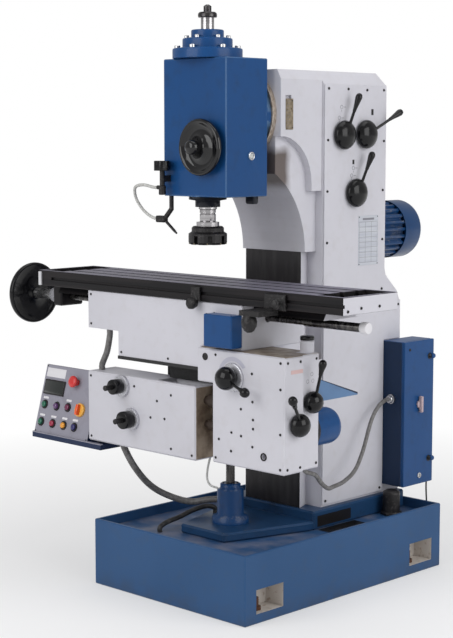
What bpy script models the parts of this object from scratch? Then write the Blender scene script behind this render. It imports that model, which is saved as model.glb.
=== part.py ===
"""Vertical knee-type milling machine, as separate solids.

Metres, +Z up.  X runs along the table, -Y is the operator's side, +Y the back.
The origin is on the floor, on the centre plane, under the column's front face.
"""
import math

import bmesh
import bpy
from mathutils import Matrix, Vector

# ---------------------------------------------------------------- driving sizes
GAP = 0.0003            # seating gap between two pieces that touch
RUN = 0.0005            # running clearance at a slide or a journal

# base: a square-cornered stand whose top is a shallow chip tray
BASE_HALF_X = 0.416
BASE_FRONT_Y = -0.662
BASE_BACK_Y = 0.520
BASE_TOP_Z = 0.265
TRAY_DEPTH = 0.040
TRAY_WALL = 0.014
POCKET_LOW_Z = 0.037
POCKET_HEIGHT = 0.092
POCKET_LENGTH = 0.148
POCKET_DEPTH = 0.090
POCKET_INSET = 0.060
LEVEL_BOLT_RADIUS = 0.011
LEVEL_BOLT_HEIGHT = 0.052

# plinth: the column's foot, with a nose under the elevating screw
PLINTH_HALF_X = 0.238
PLINTH_FRONT_Y = -0.080
PLINTH_BACK_Y = 0.500
PLINTH_TOP_Z = 0.300
NOSE_TIP_HALF_X = 0.120
NOSE_TIP_Y = -0.470
NOSE_TOP_Z = 0.262

# elevating screw
SCREW_Y = -0.310
SCREW_RADIUS = 0.018
SCREW_LOW_Z = 0.275
SCREW_WELL_Z = 0.140
SLEEVE_RADIUS = 0.053
SLEEVE_FOOT_RADIUS = 0.073
SLEEVE_TOP_Z = 0.420

# column
COLUMN_HALF_X = 0.205
COLUMN_BACK_Y = 0.390
COLUMN_FOOT_BACK_Y = 0.500
COLUMN_TOP_Z = 2.037
ROOF_EDGE_DROP = 0.050
ROOF_EDGE_INSET = 0.026
ARM_HALF_X = 0.198
ARM_FRONT_Y = -0.240
ARM_LOW_Z = 1.570
THROAT_HALF_X = 0.168
COVER_THICK = 0.006
COVER_SPLIT_LOW_Z = 1.105
COVER_SPLIT_HIGH_Z = 1.140
COVER_TOP_Z = 1.986
COVER_FOOT_Z = 0.308
WAY_HALF_X = 0.150
WAY_ROOT_HALF_X = 0.125
WAY_PROUD = 0.065
WAY_TOP_Z = 1.3297

# head
HEAD_HALF_X = 0.168
HEAD_FRONT_Y = -0.507
HEAD_BACK_Y = -0.280
HEAD_LOW_Z = 1.555
HEAD_TOP_Z = 2.075
SPINDLE_Y = -0.435
SWIVEL_Z = 1.868
SWIVEL_RADIUS = 0.170
RING_RADIUS = 0.177
RING_THICK = 0.022
QUILL_RADIUS = 0.035
QUILL_LOW_Z = 1.505
QUILL_TOP_Z = 1.960
SPINDLE_RADIUS = 0.0225
NUT_RADIUS = 0.036           # the drawbar nut, which sinks into the cap as the quill goes down
NOSE_RADIUS = 0.031
CAP_RADII = (0.133, 0.095, 0.062)
CAP_TOPS_Z = (2.112, 2.150, 2.182)
DRAWBAR_TIP_Z = 2.276
MILL_RADIUS = 0.074
MILL_LOW_Z = 1.372
MILL_TOP_Z = 1.441
MILL_FLUTES = 8
QUILL_WHEEL_X = 0.062
QUILL_WHEEL_Z = 1.742
QUILL_WHEEL_RADIUS = 0.107
TAP_X = -0.1365
TAP_KNOB_RADIUS = 0.0325

# knee and its two front boxes
KNEE_HALF_X = 0.210
KNEE_FRONT_Y = -0.450
KNEE_BACK_Y = -0.005
KNEE_LOW_Z = 0.600
KNEE_TOP_Z = 0.904
KNEE_HIGH_TOP_Z = 1.000
KNEE_STEP_X = 0.104
BOX_FRONT_Y = -0.600
LEFT_BOX_X = (-0.521, 0.097)
LEFT_BOX_Z = (0.563, 0.847)
RIGHT_BOX_X = (0.186, 0.549)
RIGHT_BOX_LOW_Z = 0.574
RIGHT_BOX_BACK_Y = -0.395
RIGHT_WING_X = 0.535
RIGHT_WING_Y = -0.495
OIL_POST = (0.500, -0.424)

# saddle
SADDLE_X = (-0.550, 0.310)
SADDLE_WING_Z = 1.016
APRON_X = -0.370
APRON_LOW_Z = 0.905
GUIDE_HALF_X = 0.060
GUIDE_HEIGHT = 0.025

# table
TABLE_X = (-0.850, 0.800)
TABLE_CENTRE_Y = -0.428
TABLE_HALF_Y = 0.150
SADDLE_SET_BACK = 0.008     # the saddle and its apron stand this far behind the table's front face
SADDLE_Y = (TABLE_CENTRE_Y - TABLE_HALF_Y + SADDLE_SET_BACK, -0.220)
TABLE_TOP_Z = 1.232
TABLE_LOW_Z = 1.169
DOVE_LOW_Z = 1.136
DOVE_HALF_TOP = 0.070
DOVE_HALF_LOW = 0.090
DOVE_X = (-0.800, 0.660)
SLOT_PITCH = 0.085
SLOT_HALF = 0.009
SLOT_T_HALF = 0.015
SLOT_NECK = 0.014
SLOT_DEPTH = 0.028
TROUGH_LENGTH = 0.120
TROUGH_DEPTH = 0.030
TABLE_RIM = 0.015
LEAD_Z = 1.112
LEAD_RADIUS = 0.013
LEAD_SLEEVE_RADIUS = 0.016
LEAD_END_X = 0.762
LEAD_SLEEVE_X = 0.494
WHEEL_X = -1.070
WHEEL_RADIUS = 0.130

# electric cabinet on the column's right side, at the back
CABINET_X = (0.2053, 0.3050)
CABINET_Y = (0.387, 0.585)
CABINET_Z = (0.336, 0.942)
CABINET_WALL = 0.008
DOOR_THICK = 0.0157
GLAND = (0.256, 0.702)
PUMP_FOOT_RADIUS = 0.044
PUMP_Y = 0.355

# main motor
MOTOR_Z = 1.385
MOTOR_RADIUS = 0.106
MOTOR_FIN_RADIUS = 0.119
MOTOR_END_Y = 0.640
COWL_RADIUS = 0.1235
COWL_END_Y = 0.757
MOTOR_FINS = 24

# control panel, leaning back
PANEL_X = (-0.873, -0.535)
PANEL_LOW = Vector((0.0, -0.600, 0.538))
PANEL_TILT = math.radians(15.4)
PANEL_HEIGHT = 0.302
PANEL_THICK = 0.052

MACHINE = bpy.data.collections.new("vertical_milling_machine")
CUTTERS = bpy.data.collections.new("cutters")


# ---------------------------------------------------------------- modelling tools
def clear_scene():
    for old in list(bpy.data.objects):
        bpy.data.objects.remove(old, do_unlink=True)
    bpy.context.scene.collection.children.link(MACHINE)
    bpy.context.scene.collection.children.link(CUTTERS)


def paint(name, colour, roughness, metallic=0.0):
    material = bpy.data.materials.new(name)
    material.use_nodes = True
    shader = material.node_tree.nodes["Principled BSDF"]
    shader.inputs["Base Color"].default_value = (*colour, 1.0)
    shader.inputs["Roughness"].default_value = roughness
    shader.inputs["Metallic"].default_value = metallic
    return material


def round_off(obj, angle=35.0):
    obj.data.shade_smooth()
    obj.data.set_sharp_from_angle(angle=math.radians(angle))


def shape(name, mesh, matrix):
    """A loose shape: it stays among the cutters until finish() makes it a part."""
    obj = bpy.data.objects.new(name, mesh)
    obj.matrix_world = matrix
    CUTTERS.objects.link(obj)
    obj.hide_render = True
    obj.display_type = "WIRE"
    return obj


def block(low, high, name="block"):
    low, high = Vector(low), Vector(high)
    mesh = bpy.data.meshes.new(name)
    built = bmesh.new()
    bmesh.ops.create_cube(built, size=1.0, matrix=Matrix.Diagonal((*(high - low), 1.0)))
    built.to_mesh(mesh)
    built.free()
    return shape(name, mesh, Matrix.Translation((low + high) / 2))


def chamfer(obj, width, segments=1, angle=40.0):
    """Break the sharp edges of a shape."""
    edge = obj.modifiers.new("edges", "BEVEL")
    edge.width = width
    edge.segments = segments
    edge.limit_method = "ANGLE"
    edge.angle_limit = math.radians(angle)
    return obj


# each frame turns a drawing plane into world axes: columns are the drawing's
# across, up and out directions
FRAMES = {
    "plan": Matrix(((1, 0, 0), (0, 1, 0), (0, 0, 1))),
    "side": Matrix(((0, 0, 1), (1, 0, 0), (0, 1, 0))),
    "front": Matrix(((1, 0, 0), (0, 0, -1), (0, 1, 0))),
}


def plate(points, frame, start, end, name="plate"):
    """A flat outline pulled straight from start to end.

    plan: points are (x, y) and it is pulled along z; side: (y, z) along x;
    front: (x, z) along y.
    """
    curve = bpy.data.curves.new(name, "CURVE")
    curve.dimensions = "2D"
    curve.fill_mode = "BOTH"
    curve.extrude = abs(end - start) / 2
    line = curve.splines.new("POLY")
    line.points.add(len(points) - 1)
    for spot, (across, up) in zip(line.points, points):
        spot.co = (across, up, 0.0, 1.0)
    line.use_cyclic_u = True
    turn = FRAMES[frame].to_4x4()
    middle = (start + end) / 2
    out = {"plan": (0, 0, middle), "side": (middle, 0, 0), "front": (0, middle, 0)}[frame]
    drawn = bpy.data.objects.new(name, curve)
    CUTTERS.objects.link(drawn)
    return solidify_curve(drawn, Matrix.Translation(out) @ turn, name)


def solidify_curve(drawn, matrix, name):
    """Turn a curve object into a closed mesh shape and drop the curve."""
    bpy.context.view_layer.update()
    graph = bpy.context.evaluated_depsgraph_get()
    mesh = bpy.data.meshes.new_from_object(drawn.evaluated_get(graph))
    bpy.data.objects.remove(drawn, do_unlink=True)
    built = bmesh.new()
    built.from_mesh(mesh)
    bmesh.ops.remove_doubles(built, verts=built.verts, dist=1e-5)
    bmesh.ops.recalc_face_normals(built, faces=built.faces)
    if built.calc_volume(signed=True) < 0:
        bmesh.ops.reverse_faces(built, faces=built.faces)
    built.to_mesh(mesh)
    built.free()
    mesh.materials.clear()
    return shape(name, mesh, matrix)


def turned(profile, centre, axis=(0, 0, 1), steps=32, name="turned"):
    """A turned solid: profile is (radius, height) from its top to its bottom."""
    mesh = bpy.data.meshes.new(name)
    spots = [(max(radius, 0.0), 0.0, height) for radius, height in profile]
    if spots[0][0] > 0:
        spots.insert(0, (0.0, 0.0, spots[0][2]))
    if spots[-1][0] > 0:
        spots.append((0.0, 0.0, spots[-1][2]))
    mesh.from_pydata(spots, [(i, i + 1) for i in range(len(spots) - 1)], [])
    turn = Vector((0, 0, 1)).rotation_difference(Vector(axis)).to_matrix().to_4x4()
    obj = shape(name, mesh, Matrix.Translation(centre) @ turn)
    spin = obj.modifiers.new("turn", "SCREW")
    spin.steps = steps
    spin.render_steps = steps
    spin.use_merge_vertices = True
    spin.merge_threshold = 0.00002
    spin.use_smooth_shade = True
    return obj


def rod(start, end, radius, steps=16, name="rod"):
    start, end = Vector(start), Vector(end)
    length = (end - start).length
    return turned([(radius, length), (radius, 0.0)], start, end - start, steps, name)


END_STRAIGHT = 0.003


def smooth_route(route, spacing):
    """Points along a smooth curve through the chosen route points."""
    route = [Vector(spot) for spot in route]
    padded = [2 * route[0] - route[1], *route, 2 * route[-1] - route[-2]]
    points = []
    for before, first, last, after in zip(padded, padded[1:], padded[2:], padded[3:]):
        count = max(2, round((last - first).length / spacing))
        for step in range(count):
            t = step / count
            points.append(0.5 * (2 * first + (last - before) * t
                                 + (2 * before - 5 * first + 4 * last - after) * t * t
                                 + (3 * first - before - 3 * last + after) * t ** 3))
    points.append(route[-1])
    # a short straight stretch at each end, so that the end faces lie square
    points.insert(1, route[0] + (route[1] - route[0]).normalized() * END_STRAIGHT)
    points.insert(-1, route[-1] + (route[-2] - route[-1]).normalized() * END_STRAIGHT)
    return points


def hose(name, route, radius, material, pivot=None, resolution=2):
    """A plain tube along a smooth route, with its ends closed."""
    points = smooth_route(route, radius * 5)
    curve = bpy.data.curves.new(name, "CURVE")
    curve.dimensions = "3D"
    curve.bevel_depth = radius
    curve.bevel_resolution = resolution
    curve.use_fill_caps = True
    line = curve.splines.new("POLY")
    line.points.add(len(points) - 1)
    for spot, place in zip(line.points, points):
        spot.co = (*place, 1.0)
    drawn = bpy.data.objects.new(name, curve)
    CUTTERS.objects.link(drawn)
    tube = solidify_curve(drawn, Matrix.Identity(4), name)
    return finish(tube, name, material, pivot)


def boolean(obj, other, operation):
    step = obj.modifiers.new(operation.lower(), "BOOLEAN")
    step.operation = operation
    step.solver = "EXACT"
    step.object = other


def join(obj, *others):
    for other in others:
        boolean(obj, other, "UNION")
    return obj


def cut(obj, *others):
    for other in others:
        boolean(obj, other, "DIFFERENCE")
    return obj


PIVOTS = {}


def pivot_at(name, place, carrier=None):
    """An empty on a joint's axis; carrier is the empty that carries it."""
    empty = bpy.data.objects.new(name, None)
    empty.empty_display_size = 0.05
    MACHINE.objects.link(empty)
    base = Vector((0, 0, 0))
    if carrier is not None:
        empty.parent = carrier
        base = PIVOTS[carrier.name]
    empty.location = Vector(place) - base
    PIVOTS[empty.name] = Vector(place)
    return empty


def finish(obj, name, material, pivot=None):
    """Make a shape a named part, hung on the empty of its joint."""
    CUTTERS.objects.unlink(obj)
    MACHINE.objects.link(obj)
    obj.hide_render = False
    obj.display_type = "TEXTURED"
    obj.name = name
    obj.data.name = name
    obj.data.materials.append(material)
    if pivot is not None:
        world = obj.matrix_world.copy()
        obj.parent = pivot
        obj.matrix_parent_inverse = Matrix.Translation(PIVOTS[pivot.name]).inverted()
        obj.matrix_basis = world
    if obj.data.polygons:
        round_off(obj)
    return obj


def arc(centre, radius, start, end, count):
    """Points of a round stretch, angles in degrees."""
    spots = []
    for step in range(count + 1):
        angle = math.radians(start + (end - start) * step / count)
        spots.append((centre[0] + radius * math.cos(angle), centre[1] + radius * math.sin(angle)))
    return spots


clear_scene()

# ---------------------------------------------------------------- materials
BLUE = paint("blue enamel", (0.022, 0.090, 0.240), 0.32)
BASE_BLUE = paint("base blue enamel", (0.045, 0.110, 0.270), 0.42)
WHITE = paint("white enamel", (0.640, 0.640, 0.680), 0.45)
BLACK = paint("black plastic", (0.010, 0.010, 0.011), 0.22)
DARK_IRON = paint("dark ground iron", (0.040, 0.036, 0.040), 0.45, 0.6)
STEEL = paint("bright steel", (0.520, 0.520, 0.530), 0.25, 1.0)
BEIGE = paint("machined ring", (0.560, 0.480, 0.380), 0.40, 0.3)
GREY_HOSE = paint("grey conduit", (0.240, 0.240, 0.235), 0.55)
LIGHT_HOSE = paint("light jointed hose", (0.560, 0.560, 0.540), 0.50)
RUBBER = paint("black hose", (0.030, 0.030, 0.032), 0.60)
PANEL_GREY = paint("panel grey", (0.330, 0.330, 0.390), 0.40)
GUARD_BLUE = paint("guard blue", (0.190, 0.310, 0.500), 0.40)
RED = paint("red cap", (0.600, 0.020, 0.020), 0.35)
ORANGE = paint("orange switch", (0.850, 0.200, 0.020), 0.35)
GREEN = paint("green cap", (0.010, 0.190, 0.120), 0.35)
YELLOW = paint("yellow cap", (0.800, 0.420, 0.030), 0.35)
NAVY = paint("blue cap", (0.030, 0.040, 0.260), 0.35)
MAROON = paint("dark red cap", (0.160, 0.015, 0.030), 0.35)

# ---------------------------------------------------------------- joint empties
HEAD = pivot_at("head_pivot", (0, ARM_FRONT_Y, SWIVEL_Z))
QUILL = pivot_at("quill_pivot", (0, SPINDLE_Y, QUILL_LOW_Z), HEAD)
SPINDLE = pivot_at("spindle_pivot", (0, SPINDLE_Y, QUILL_LOW_Z), QUILL)
KNEE = pivot_at("knee_pivot", (0, SCREW_Y, KNEE_LOW_Z))
SADDLE = pivot_at("saddle_pivot", (0, TABLE_CENTRE_Y, KNEE_HIGH_TOP_Z), KNEE)
TABLE = pivot_at("table_pivot", (0, TABLE_CENTRE_Y, TABLE_LOW_Z), SADDLE)

# ---------------------------------------------------------------- base and tray
TRAY_FLOOR_Z = BASE_TOP_Z - TRAY_DEPTH


def make_base():
    base = block((-BASE_HALF_X, BASE_FRONT_Y, 0), (BASE_HALF_X, BASE_BACK_Y, BASE_TOP_Z))
    chamfer(base, 0.004)
    tray = block((-BASE_HALF_X + TRAY_WALL, BASE_FRONT_Y + TRAY_WALL, TRAY_FLOOR_Z),
                 (BASE_HALF_X - TRAY_WALL, BASE_BACK_Y - TRAY_WALL, BASE_TOP_Z + 0.05))
    well = rod((0, SCREW_Y, SCREW_WELL_Z), (0, SCREW_Y, BASE_TOP_Z), SCREW_RADIUS + 0.005, 24)
    cut(base, tray, well)
    starts = (BASE_FRONT_Y + POCKET_INSET, BASE_BACK_Y - POCKET_INSET - POCKET_LENGTH)
    for side in (-1, 1):
        for start in starts:
            outer = side * (BASE_HALF_X + 0.02)
            inner = side * (BASE_HALF_X - POCKET_DEPTH)
            pocket = block((min(outer, inner), start, POCKET_LOW_Z),
                           (max(outer, inner), start + POCKET_LENGTH, POCKET_LOW_Z + POCKET_HEIGHT))
            cut(base, pocket)
            # a levelling bolt with its nut stands on the pocket's floor
            spot = (side * (BASE_HALF_X - POCKET_DEPTH / 2), start + POCKET_LENGTH * 0.3,
                    POCKET_LOW_Z - 0.004)
            bolt = turned([(LEVEL_BOLT_RADIUS, LEVEL_BOLT_HEIGHT), (LEVEL_BOLT_RADIUS, 0.018),
                           (LEVEL_BOLT_RADIUS * 1.8, 0.018), (LEVEL_BOLT_RADIUS * 1.8, 0)],
                          spot, steps=12)
            join(base, bolt)
    finish(base, "base_tray", BASE_BLUE)


def make_plinth():
    low = TRAY_FLOOR_Z + GAP
    foot = block((-PLINTH_HALF_X, PLINTH_FRONT_Y, low), (PLINTH_HALF_X, PLINTH_BACK_Y, PLINTH_TOP_Z))
    chamfer(foot, 0.006)
    nose = plate([(-PLINTH_HALF_X + 0.002, PLINTH_FRONT_Y + 0.03), (-PLINTH_HALF_X + 0.002,
                                                                    PLINTH_FRONT_Y - 0.02),
                  (-NOSE_TIP_HALF_X, NOSE_TIP_Y), (NOSE_TIP_HALF_X, NOSE_TIP_Y),
                  (PLINTH_HALF_X - 0.002, PLINTH_FRONT_Y - 0.02), (PLINTH_HALF_X - 0.002,
                                                                   PLINTH_FRONT_Y + 0.03)],
                 "plan", low, NOSE_TOP_Z)
    chamfer(nose, 0.007)
    bore = rod((0, SCREW_Y, 0.1), (0, SCREW_Y, 0.4), SCREW_RADIUS + 0.005, 24)
    cut(join(foot, nose), bore)
    finish(foot, "plinth", BLUE)


def make_screw():
    low = NOSE_TOP_Z + GAP
    high = SLEEVE_TOP_Z
    lip = SLEEVE_RADIUS - 0.012
    sleeve = turned([(lip - 0.006, high), (lip, high - 0.004), (lip, high - 0.020),
                     (SLEEVE_RADIUS, high - 0.026),
                     (SLEEVE_RADIUS, low + 0.034), (SLEEVE_FOOT_RADIUS, low + 0.022),
                     (SLEEVE_FOOT_RADIUS, low)],
                    (0, SCREW_Y, 0), steps=28)
    cut(sleeve, rod((0, SCREW_Y, low - 0.05), (0, SCREW_Y, high + 0.05), SCREW_RADIUS + RUN, 32))
    finish(sleeve, "screw_sleeve", BLUE)
    screw = turned([(SCREW_RADIUS, KNEE_LOW_Z - GAP), (SCREW_RADIUS, SCREW_LOW_Z + 0.003),
                    (SCREW_RADIUS - 0.003, SCREW_LOW_Z)], (0, SCREW_Y, 0), steps=32)
    finish(screw, "elevating_screw", DARK_IRON, KNEE)


# ---------------------------------------------------------------- column
def make_column():
    body = plate([(0.0, PLINTH_TOP_Z + GAP), (COLUMN_FOOT_BACK_Y, PLINTH_TOP_Z + GAP),
                  (COLUMN_FOOT_BACK_Y, 0.960), (COLUMN_FOOT_BACK_Y - 0.005, 1.100),
                  (COLUMN_FOOT_BACK_Y - 0.025, 1.145), (COLUMN_BACK_Y + 0.040, 1.185),
                  (COLUMN_BACK_Y + 0.010, 1.215), (COLUMN_BACK_Y, 1.250),
                  (COLUMN_BACK_Y, COLUMN_TOP_Z - 0.050), (COLUMN_BACK_Y - 0.037, COLUMN_TOP_Z),
                  (0.0, COLUMN_TOP_Z)], "side", -COLUMN_HALF_X, COLUMN_HALF_X)
    arch = arc((ARM_FRONT_Y - 0.005, ARM_LOW_Z + 0.03), 0.185, 80, 0, 8)
    arm = plate([(0.02, COLUMN_TOP_Z), (ARM_FRONT_Y, COLUMN_TOP_Z), (ARM_FRONT_Y, arch[0][1])]
                + arch + [(arch[-1][0], ARM_LOW_Z), (0.02, ARM_LOW_Z)],
                "side", -ARM_HALF_X, ARM_HALF_X)
    throat = plate([(0.02, 1.90), (ARM_FRONT_Y + 0.003, 1.90), (ARM_FRONT_Y + 0.003, 1.640)]
                   + arc((-0.430, 1.330), 0.367, 46, 0, 9) + [(-0.063, WAY_TOP_Z + GAP),
                                                              (0.02, WAY_TOP_Z + GAP)],
                   "side", -THROAT_HALF_X, THROAT_HALF_X)
    join(body, arm, throat)
    for side in (-1, 1):
        edge = side * (COLUMN_HALF_X + 0.01)
        inset = side * (COLUMN_HALF_X - ROOF_EDGE_INSET)
        slope = plate([(edge, COLUMN_TOP_Z - ROOF_EDGE_DROP - 0.019), (inset, COLUMN_TOP_Z),
                       (inset, COLUMN_TOP_Z + 0.02), (edge, COLUMN_TOP_Z + 0.02)],
                      "front", ARM_FRONT_Y - 0.05, COLUMN_FOOT_BACK_Y)
        cut(body, slope)
    # the swivel scale's window in the arm's right side
    window = block((ARM_HALF_X - 0.012, -0.213, 1.818), (ARM_HALF_X + 0.02, -0.180, 1.939))
    cut(body, window)
    finish(body, "column", WHITE)
    ways = plate([(-WAY_HALF_X, -WAY_PROUD), (WAY_HALF_X, -WAY_PROUD), (WAY_ROOT_HALF_X, -GAP),
                  (-WAY_ROOT_HALF_X, -GAP)], "plan", PLINTH_TOP_Z + GAP, WAY_TOP_Z)
    finish(ways, "column_ways", DARK_IRON)


def make_covers():
    inner = COLUMN_HALF_X + GAP
    outer = inner + COVER_THICK - GAP
    upper = block((inner, 0.003, COVER_SPLIT_HIGH_Z), (outer, COLUMN_BACK_Y - 0.004, COVER_TOP_Z))
    finish(chamfer(upper, 0.0015), "upper_cover", WHITE)
    shelf = CABINET_Z[1] + 0.003
    lower = plate([(0.003, COVER_FOOT_Z), (CABINET_Y[0] - 0.001, COVER_FOOT_Z), (CABINET_Y[0] - 0.001, shelf),
                   (COLUMN_FOOT_BACK_Y - 0.008, shelf), (COLUMN_FOOT_BACK_Y - 0.008, COVER_SPLIT_LOW_Z),
                   (0.003, COVER_SPLIT_LOW_Z)], "side", inner, outer)
    finish(chamfer(lower, 0.0015), "lower_cover", WHITE)


def make_motor():
    near = COLUMN_BACK_Y + GAP
    teeth = []
    for fin in range(MOTOR_FINS):
        for part, radius in ((0.0, MOTOR_FIN_RADIUS), (0.35, MOTOR_FIN_RADIUS), (0.45, MOTOR_RADIUS),
                             (0.9, MOTOR_RADIUS)):
            angle = math.tau * (fin + part) / MOTOR_FINS
            teeth.append((radius * math.cos(angle), MOTOR_Z + radius * math.sin(angle)))
    body = plate(teeth, "front", near + 0.014, MOTOR_END_Y)
    flange = turned([(MOTOR_FIN_RADIUS, 0.020), (MOTOR_FIN_RADIUS, 0)], (0, near, MOTOR_Z), (0, 1, 0), 32)
    finish(join(body, flange), "main_motor", BLUE)
    depth = COWL_END_Y - MOTOR_END_Y
    cowl = turned([(COWL_RADIUS * 0.42, depth), (COWL_RADIUS * 0.74, depth - 0.007),
                   (COWL_RADIUS * 0.92, depth - 0.022), (COWL_RADIUS, depth - 0.048), (COWL_RADIUS, GAP)],
                  (0, MOTOR_END_Y, MOTOR_Z), (0, 1, 0), 36)
    finish(cowl, "fan_cowl", BLUE)


def make_cabinet():
    low = (CABINET_X[0], CABINET_Y[0], CABINET_Z[0])
    high = (CABINET_X[1], CABINET_Y[1], CABINET_Z[1])
    body = chamfer(block(low, high), 0.003)
    wall = CABINET_WALL
    hollow = block((low[0] + wall, low[1] + wall, low[2] + wall), (high[0] + 0.02, high[1] - wall,
                                                                   high[2] - wall))
    cut(body, hollow)
    gland = turned([(0.011, 0.020), (0.011, 0.010), (0.015, 0.010), (0.015, -0.002)],
                   (GLAND[0], CABINET_Y[0], GLAND[1]), (0, -1, 0), 16)
    join(body, gland)
    finish(body, "cabinet", BLUE)
    hinge = pivot_at("door_pivot", (high[0] + DOOR_THICK, CABINET_Y[0], (low[2] + high[2]) / 2))
    door = block((high[0] + GAP, low[1], low[2]), (high[0] + DOOR_THICK, high[1], high[2]))
    chamfer(door, 0.003, 2)
    for height in (CABINET_Z[0] + 0.102, CABINET_Z[1] - 0.070):
        spot = (high[0] + DOOR_THICK - 0.002, high[1] - 0.018, height)
        join(door, turned([(0.009, 0.018), (0.011, 0.014), (0.011, 0.0)], spot, (1, 0, 0), 16))
    finish(door, "cabinet_door", BLUE, hinge)
    face = high[0] + DOOR_THICK + GAP
    spot = (face, 0.487, 0.676)
    turn = pivot_at("isolator_pivot", spot, hinge)
    knob = turned([(0.014, 0.008), (0.017, 0.006), (0.017, 0)], spot, (1, 0, 0), 24)
    grip = chamfer(block((face + 0.004, spot[1] - 0.007, spot[2] - 0.034),
                         (face + 0.020, spot[1] + 0.007, spot[2] + 0.034)), 0.003)
    finish(join(knob, grip), "isolator_switch", BLACK, turn)


def make_pump():
    centre = (PLINTH_HALF_X + PUMP_FOOT_RADIUS + 0.003, PUMP_Y, TRAY_FLOOR_Z + GAP)
    body = PUMP_FOOT_RADIUS - 0.008
    pump = turned([(0.020, 0.104), (body - 0.002, 0.096), (body, 0.086), (body, 0.014),
                   (PUMP_FOOT_RADIUS, 0.012),
                   (PUMP_FOOT_RADIUS, 0)], centre, steps=24)
    finish(pump, "coolant_pump", BLACK)


# ---------------------------------------------------------------- head
def make_head():
    body = chamfer(block((-HEAD_HALF_X, HEAD_FRONT_Y, HEAD_LOW_Z), (HEAD_HALF_X, HEAD_BACK_Y, HEAD_TOP_Z)),
                   0.004)
    seat = ARM_FRONT_Y - GAP - RING_THICK - GAP
    flange = turned([(SWIVEL_RADIUS, seat - HEAD_BACK_Y + 0.010), (SWIVEL_RADIUS, 0)],
                    (0, seat, SWIVEL_Z), (0, -1, 0), 40)
    lower = turned([(0.0725, HEAD_LOW_Z + 0.01), (0.0725, HEAD_LOW_Z - 0.012), (0.048, HEAD_LOW_Z - 0.016),
                    (0.048, HEAD_LOW_Z - 0.040)], (0, SPINDLE_Y, 0), steps=40)
    glass = turned([(0.013, 0.004), (0.016, 0.004), (0.016, -0.003)], (HEAD_HALF_X, -0.373, 1.709),
                   (1, 0, 0), 24)
    boss = turned([(0.034, 0.012), (0.038, 0.008), (0.038, -0.004)], (QUILL_WHEEL_X, HEAD_FRONT_Y,
                                                                      QUILL_WHEEL_Z), (0, -1, 0), 32)
    stop = chamfer(block((0.118, -0.355, HEAD_LOW_Z - 0.028), (0.162, -0.320, HEAD_LOW_Z + 0.01)), 0.006)
    join(body, flange, lower, glass, boss, stop)
    bore = rod((0, SPINDLE_Y, HEAD_LOW_Z - 0.1), (0, SPINDLE_Y, HEAD_TOP_Z + 0.1), QUILL_RADIUS + RUN, 32)
    cut(body, bore)
    finish(body, "head_body", BLUE, HEAD)

    profile = []
    floor_z = HEAD_TOP_Z + GAP
    for radius, top in reversed(list(zip(CAP_RADII, CAP_TOPS_Z))):
        profile.append((radius - 0.004, top))
        profile.append((radius, top - 0.004))
        profile.append((radius, max(floor_z, top - 0.030)))
    profile[-1] = (CAP_RADII[0], floor_z)
    cap = turned(profile, (0, SPINDLE_Y, 0), steps=36)
    cut(cap, rod((0, SPINDLE_Y, HEAD_TOP_Z - 0.05), (0, SPINDLE_Y, CAP_TOPS_Z[2] + 0.05),
                 NUT_RADIUS + 0.0015, 32))
    finish(cap, "head_cap", BLUE, HEAD)


def make_ring():
    near = ARM_FRONT_Y - GAP
    ring = turned([(RING_RADIUS, RING_THICK), (RING_RADIUS, 0)], (0, near, SWIVEL_Z), (0, -1, 0), 40)
    finish(ring, "swivel_ring", BEIGE)


def make_quill():
    quill = turned([(QUILL_RADIUS, QUILL_TOP_Z), (QUILL_RADIUS, QUILL_LOW_Z + 0.002),
                    (QUILL_RADIUS - 0.002, QUILL_LOW_Z)],
                   (0, SPINDLE_Y, 0), steps=32)
    cut(quill, rod((0, SPINDLE_Y, 1.4), (0, SPINDLE_Y, 2.1), SPINDLE_RADIUS + RUN, 32))
    finish(quill, "quill", STEEL, QUILL)
    top = CAP_TOPS_Z[2]
    spindle = turned([(0.008, DRAWBAR_TIP_Z), (0.015, DRAWBAR_TIP_Z - 0.006), (0.015, DRAWBAR_TIP_Z - 0.026),
                      (0.030, DRAWBAR_TIP_Z - 0.028), (NUT_RADIUS, DRAWBAR_TIP_Z - 0.034),
                      (NUT_RADIUS, DRAWBAR_TIP_Z - 0.048),
                      (0.025, DRAWBAR_TIP_Z - 0.050), (0.025, top - 0.020), (SPINDLE_RADIUS, top - 0.022),
                      (SPINDLE_RADIUS, QUILL_LOW_Z - GAP), (NOSE_RADIUS, QUILL_LOW_Z - GAP),
                      (NOSE_RADIUS, MILL_TOP_Z + 0.018), (0.044, MILL_TOP_Z + 0.016),
                      (0.044, MILL_TOP_Z + GAP)],
                     (0, SPINDLE_Y, 0), steps=28)
    finish(spindle, "spindle", STEEL, SPINDLE)
    mill = turned([(0.056, MILL_TOP_Z), (0.062, MILL_TOP_Z - 0.006), (0.062, MILL_TOP_Z - 0.020),
                   (MILL_RADIUS, MILL_TOP_Z - 0.028), (MILL_RADIUS, MILL_LOW_Z + 0.008),
                   (MILL_RADIUS - 0.006, MILL_LOW_Z), (0.045, MILL_LOW_Z), (0.045, MILL_LOW_Z + 0.012)],
                  (0, SPINDLE_Y, 0), steps=32)
    for flute in range(MILL_FLUTES):
        angle = math.tau * flute / MILL_FLUTES
        notch = block((0.058, 0.0, -0.005), (0.090, 0.017, 0.034))
        notch.matrix_world = (Matrix.Translation((0, SPINDLE_Y, MILL_LOW_Z)) @ Matrix.Rotation(angle, 4, "Z")
                              @ notch.matrix_world)
        cut(mill, notch)
    finish(mill, "face_mill", BLACK, SPINDLE)


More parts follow.
